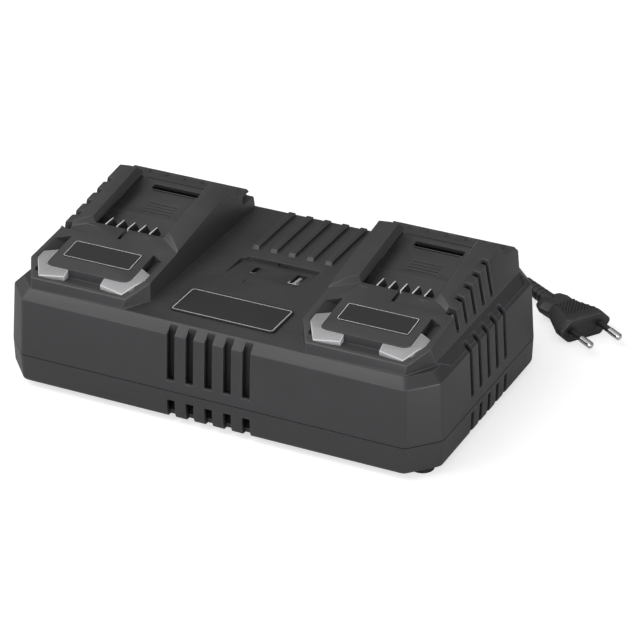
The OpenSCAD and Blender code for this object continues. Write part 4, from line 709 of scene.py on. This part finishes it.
def soften(name, width, least):
    """A bmesh copy of the node with soft edges, whose new faces carry the attribute edge."""
    keep_sharp = []
    for _ in range(rounds):
        bm = clean_copy(name)
        mark = bm.faces.layers.float.new("edge")
        surface = BVHTree.FromBMesh(bm)
        sharp = [e for e in bm.edges
                 if e.is_manifold and e.calc_face_angle(0) > math.radians(least)
                 and not any((middle_of(e) - p).length < same_middle for p in keep_sharp)]
        lines = [(middle_of(e), e.verts[0].co.copy(), e.verts[1].co.copy()) for e in sharp]
        made = bmesh.ops.bevel(bm, geom=sharp, offset=width, offset_type="OFFSET",
                               segments=2, profile=0.5, affect="EDGES", material=-1,
                               clamp_overlap=False)["faces"]
        strays = [v.co.copy() for v in bm.verts
                  if surface.find_nearest(v.co)[3] > width * stray_share]
        if not strays:
            break
        for middle, a, b in lines:
            way = b - a
            for p in strays:
                t = min(1, max(0, (p - a).dot(way) / way.length_squared))
                if (a + way * t - p).length < width * near_share:
                    keep_sharp.append(middle)
                    break
        print(name, "strays", len(strays), "edges kept sharp", len(keep_sharp))
    for face in made:
        if face.is_valid:
            face[mark] = 1.0
    bm.normal_update()
    print(name, "faces filled again", refill(bm))
    return bm


print("bevel ready, at most", rounds, "rounds")

# %% Make the shell pieces
smooth_under = math.radians(32)


def as_piece(bm, name, material):
    """An object from the bmesh that rides on the charger."""
    mesh = bpy.data.meshes.new(name)
    bm.to_mesh(mesh)
    bm.free()
    mesh.materials.append(material)
    piece = bpy.data.objects.new(name, mesh)
    scene.collection.objects.link(piece)
    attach(piece, "charger")
    return piece


def soft_piece(node, material, width, least=30):
    """A soft-edged copy that stands for the node, shaded smooth up to its sharp edges."""
    bm = soften(node, width, least)
    for edge in bm.edges:
        edge.smooth = edge.is_manifold and edge.calc_face_angle(0) < smooth_under
    for face in bm.faces:
        face.smooth = True
    piece = as_piece(bm, node + "_soft", material)
    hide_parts(node)
    return piece


upper = soft_piece("upper_case", shell, 0.00035)
lower = soft_piece("lower_case", shell, 0.00035)
print("shell pieces", len(upper.data.polygons), len(lower.data.polygons))

# %% [markdown]
# ## Small outer pieces
# Rubber feet are rounder than the shell, thin contact blades are crisper, and the light
# guides lie between. They could share one radius, but the eye reads the size of a piece
# from its edges, so each has its own.

# %% Soften the small outer pieces
small_pieces = {
    "rubber_feet": (rubber, "foot_rubber", 0.0006),
    "guide_left_outer": (frost, "frost", 0.0003),
    "guide_left_inner": (frost, "frost", 0.0003),
    "guide_right_inner": (frost, "frost", 0.0003),
    "guide_right_outer": (frost, "frost", 0.0003),
    "contact_blades_left": (silver, "contact", 0.00012),
    "contact_blades_right": (silver, "contact", 0.00012),
    "usb_a_tongue": (grey_tongue, "tongue_grey", 0.00015),
    "strain_relief": (jacket, "cord_jacket", 0.0002),
    "coil_tie": (tie_skin, "tie_plastic", 0.0002),
}
for node, (material, slot, width) in small_pieces.items():
    piece = soft_piece(node, material, width)
    print(piece.name, len(piece.data.polygons))

# %% [markdown]
# ## Labels and the name plate
# The labels beside the guides are thin foils, and the plate in the middle is a thin
# plastic one. All three have a pale line inside their edge. The line could be a texture,
# but a ring of faces between two insets of the top face follows the rounded corners by
# itself and stays sharp close up.

# %% Frame the labels
pale_line = moulded("pale_line", (0.72, 0.72, 0.72), rough=0.4, scale=3000,
                    depth=0.00001, edge=0)


def framed(node, material, gap, width):
    """The node with a ring of pale_line on its top face, gap inside the edge."""
    bm = clean_copy(node)
    top = max(bm.faces, key=lambda face: face.calc_area() * face.normal.z)
    bmesh.ops.inset_region(bm, faces=[top], thickness=gap, use_even_offset=True)
    ring = bmesh.ops.inset_region(bm, faces=[top], thickness=width, use_even_offset=True)
    for face in ring["faces"]:
        face.material_index = 1
    piece = as_piece(bm, node + "_framed", material)
    piece.data.materials.append(pale_line)
    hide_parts(node)
    return piece


pieces = [framed(node, label_skin, 0.0003, 0.0003)
          for node in ("pad_label_left", "pad_label_right")]
pieces.append(framed("name_plate", plate_skin, 0.0010, 0.0004))
print("framed", [(piece.name, len(piece.data.polygons)) for piece in pieces])

# %% [markdown]
# ## The mains lead
# The lead is one fixed length of round cord. It leaves the strain relief, sinks to the
# table, goes round a neat coil in two layers and runs straight into the plug. The CAD
# model's coil has six flat sides, and a curve with a round section has none. Its points
# are those of the model's route, so it lies where the model's cord lies. They are worked
# out in millimetres and made metres last.

# %% Measures of the coil and the plug's place
cord_d = 5.6
turns_count, coil_pitch, coil_rise, coil_climb = 6.2926, 6.1, 6.1, 0.5
coil_middle, coil_start, coil_mid_r = Vector((40, 119.5)), 160, 31.6
coil_in_r = coil_mid_r - coil_pitch * turns_count / 4
tie_t, tie_gap = 0.7, 0.2
coil_low_z = cord_d / 2 + tie_t + tie_gap
plug_l, plug_w, tail_l = 35, 35.3, 24
plug_place, plug_turn, plug_z = Vector((138, 103)), math.radians(-34), 7.1
plug_way = Vector((math.cos(plug_turn), math.sin(plug_turn), 0))
plug_end = Vector((*plug_place, plug_z)) - plug_way * (plug_l + tail_l)
print("coil's inner radius", round(coil_in_r, 2), "mm, tail ends at", plug_end)

# %% The shape of the coil
ring_step, small_turn = 1 / 24, 1 / 192


def coil_point(t):
    """The cord's middle after t turns: in on the low layer and out on the high one."""
    angle = math.radians(coil_start - 360 * t)
    radius = coil_in_r + coil_pitch * abs(t - turns_count / 2)
    climbed = min(1, max(0, (t - turns_count / 2) / coil_climb + 0.5))
    return Vector((coil_middle.x + radius * math.cos(angle),
                   coil_middle.y + radius * math.sin(angle),
                   coil_low_z + coil_rise * climbed))


def coil_heading(t):
    """The direction of the cord after t turns."""
    return (coil_point(t + small_turn) - coil_point(t - small_turn)).normalized()


coil_first = coil_point(0) - coil_heading(ring_step) * cord_d
coil_last = coil_point(turns_count) + coil_heading(turns_count - ring_step) * cord_d
print("coil from", coil_first, "to", coil_last)

# %% The route from the case to the plug
points_a_turn, lead_steps, tail_steps = 48, 4, 3


def smooth(points, steps):
    """Points on a smooth curve through the given ones."""
    result = []
    for i in range(len(points) - 1):
        a, b = points[max(i - 1, 0)], points[i]
        c, d = points[i + 1], points[min(i + 2, len(points) - 1)]
        for k in range(steps):
            t = k / steps
            result.append((b * 2 + (c - a) * t + (a * 2 - b * 5 + c * 4 - d) * t * t
                           + (b * 3 - a - c * 3 + d) * t ** 3) / 2)
    return result + [points[-1]]


lead_out = [Vector(p) for p in
            ((-6, 100.5, 11.5), (-6, 106, 11), (-5, 113, 8.5), (-4, 119, 5.5))]
lead_out += [coil_first - coil_heading(0) * coil_pitch / 3, coil_first]
coil_run = [coil_point(n / points_a_turn)
            for n in range(int(turns_count * points_a_turn) + 1)]
coil_run.append(coil_point(turns_count))
tail = [coil_last, coil_last * 2 / 3 + plug_end / 3, coil_last / 3 + plug_end * 2 / 3,
        plug_end]
route = smooth(lead_out, lead_steps) + coil_run + smooth(tail, tail_steps)
route = [p * MM for p in route]

# %% Draw the lead
curve = bpy.data.curves.new("mains_lead", "CURVE")
curve.dimensions = "3D"
spline = curve.splines.new("POLY")
spline.points.add(len(route) - 1)
for point, where in zip(spline.points, route):
    point.co = (*where, 1)
curve.bevel_depth = cord_d / 2 * MM
curve.bevel_resolution = 3
curve.use_fill_caps = True
curve.materials.append(jacket)
lead = bpy.data.objects.new("mains_lead", curve)
scene.collection.objects.link(lead)
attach(lead, "charger")
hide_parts("mains_cord", "cord_coil", "cord_tail")
print("lead", round(curve.bevel_depth * 2, 4), "m thick")

# %% [markdown]
# ## The plug
# Fingers pull the flat plug by a grip of small diamonds on both broad sides. Bump alone
# would be missing from the finished mesh, so each diamond is a low four-sided cone with
# its tip cut off, set on the plug's own slope. The plug narrows and thins from its face
# to its waist, and the rows of diamonds follow both. Diamonds on the lower side that
# would touch the table are left out.

# %% The plug's slope
full_end, waist_l, waist_w, waist_t, flat_share = 4.5, 0.66, 0.56, 0.78, 0.6
slope_end = 23


def narrowed(x):
    """How far the plug has narrowed at x millimetres behind its face, from 0 to 1."""
    return min(1, max(0, (x - full_end) / (plug_l * waist_l - full_end)))


def half_thick(x):
    """Half the plug's thickness at x."""
    return plug_z * (1 - narrowed(x) * (1 - waist_t))


def half_flat(x):
    """Half the width of the plug's broad flat side at x."""
    return plug_w / 2 * flat_share * (1 - narrowed(x) * (1 - waist_w))


slope = math.atan2(half_thick(full_end) - half_thick(slope_end), slope_end - full_end)
print("slope", round(math.degrees(slope), 2))

# %% Soften the plug and set the grip on it
rows, first_row, row_pitch, diamond_pitch = 12, 6.5, 1.3, 2.2
flat_margin, table_margin, diamond_up = 0.9, 0.4, 0.08

plug = soft_piece("plug_body", plug_skin, 0.0005, least=20)
plug_matrix = Matrix.Translation((*(plug_place * MM), plug_z * MM))
plug_matrix = plug_matrix @ Matrix.Rotation(plug_turn, 4, "Z")
grip = bmesh.new()
for side in (1, -1):
    for row in range(rows):
        x = first_row + row * row_pitch
        reach = half_flat(x) - flat_margin
        count = int(reach)
        for column in range(-count, count + 1):
            y = (column + (0.5 if row % 2 else 0)) * diamond_pitch
            if abs(y) > reach or side < 0 and half_thick(x) + table_margin > plug_z:
                continue
            z = side * (half_thick(x) + diamond_up)
            tile = Matrix.Translation((-x * MM, y * MM, z * MM))
            tile = plug_matrix @ tile @ Matrix.Rotation(side * slope, 4, "Y")
            tile = tile @ Matrix.Diagonal((1.0, 1.5, side, 1))
            bmesh.ops.create_cone(grip, segments=4, radius1=0.0011, radius2=0.0007,
                                  depth=0.0007, cap_ends=True, matrix=tile)
bmesh.ops.recalc_face_normals(grip, faces=grip.faces)
grip_piece = as_piece(grip, "plug_grip", plug_skin)
print("grip faces", len(grip_piece.data.polygons))

# %% [markdown]
# ## The lead
# The lead is drawn above as one curve, and nothing more is set on it here.

print("lead drawn as one curve")
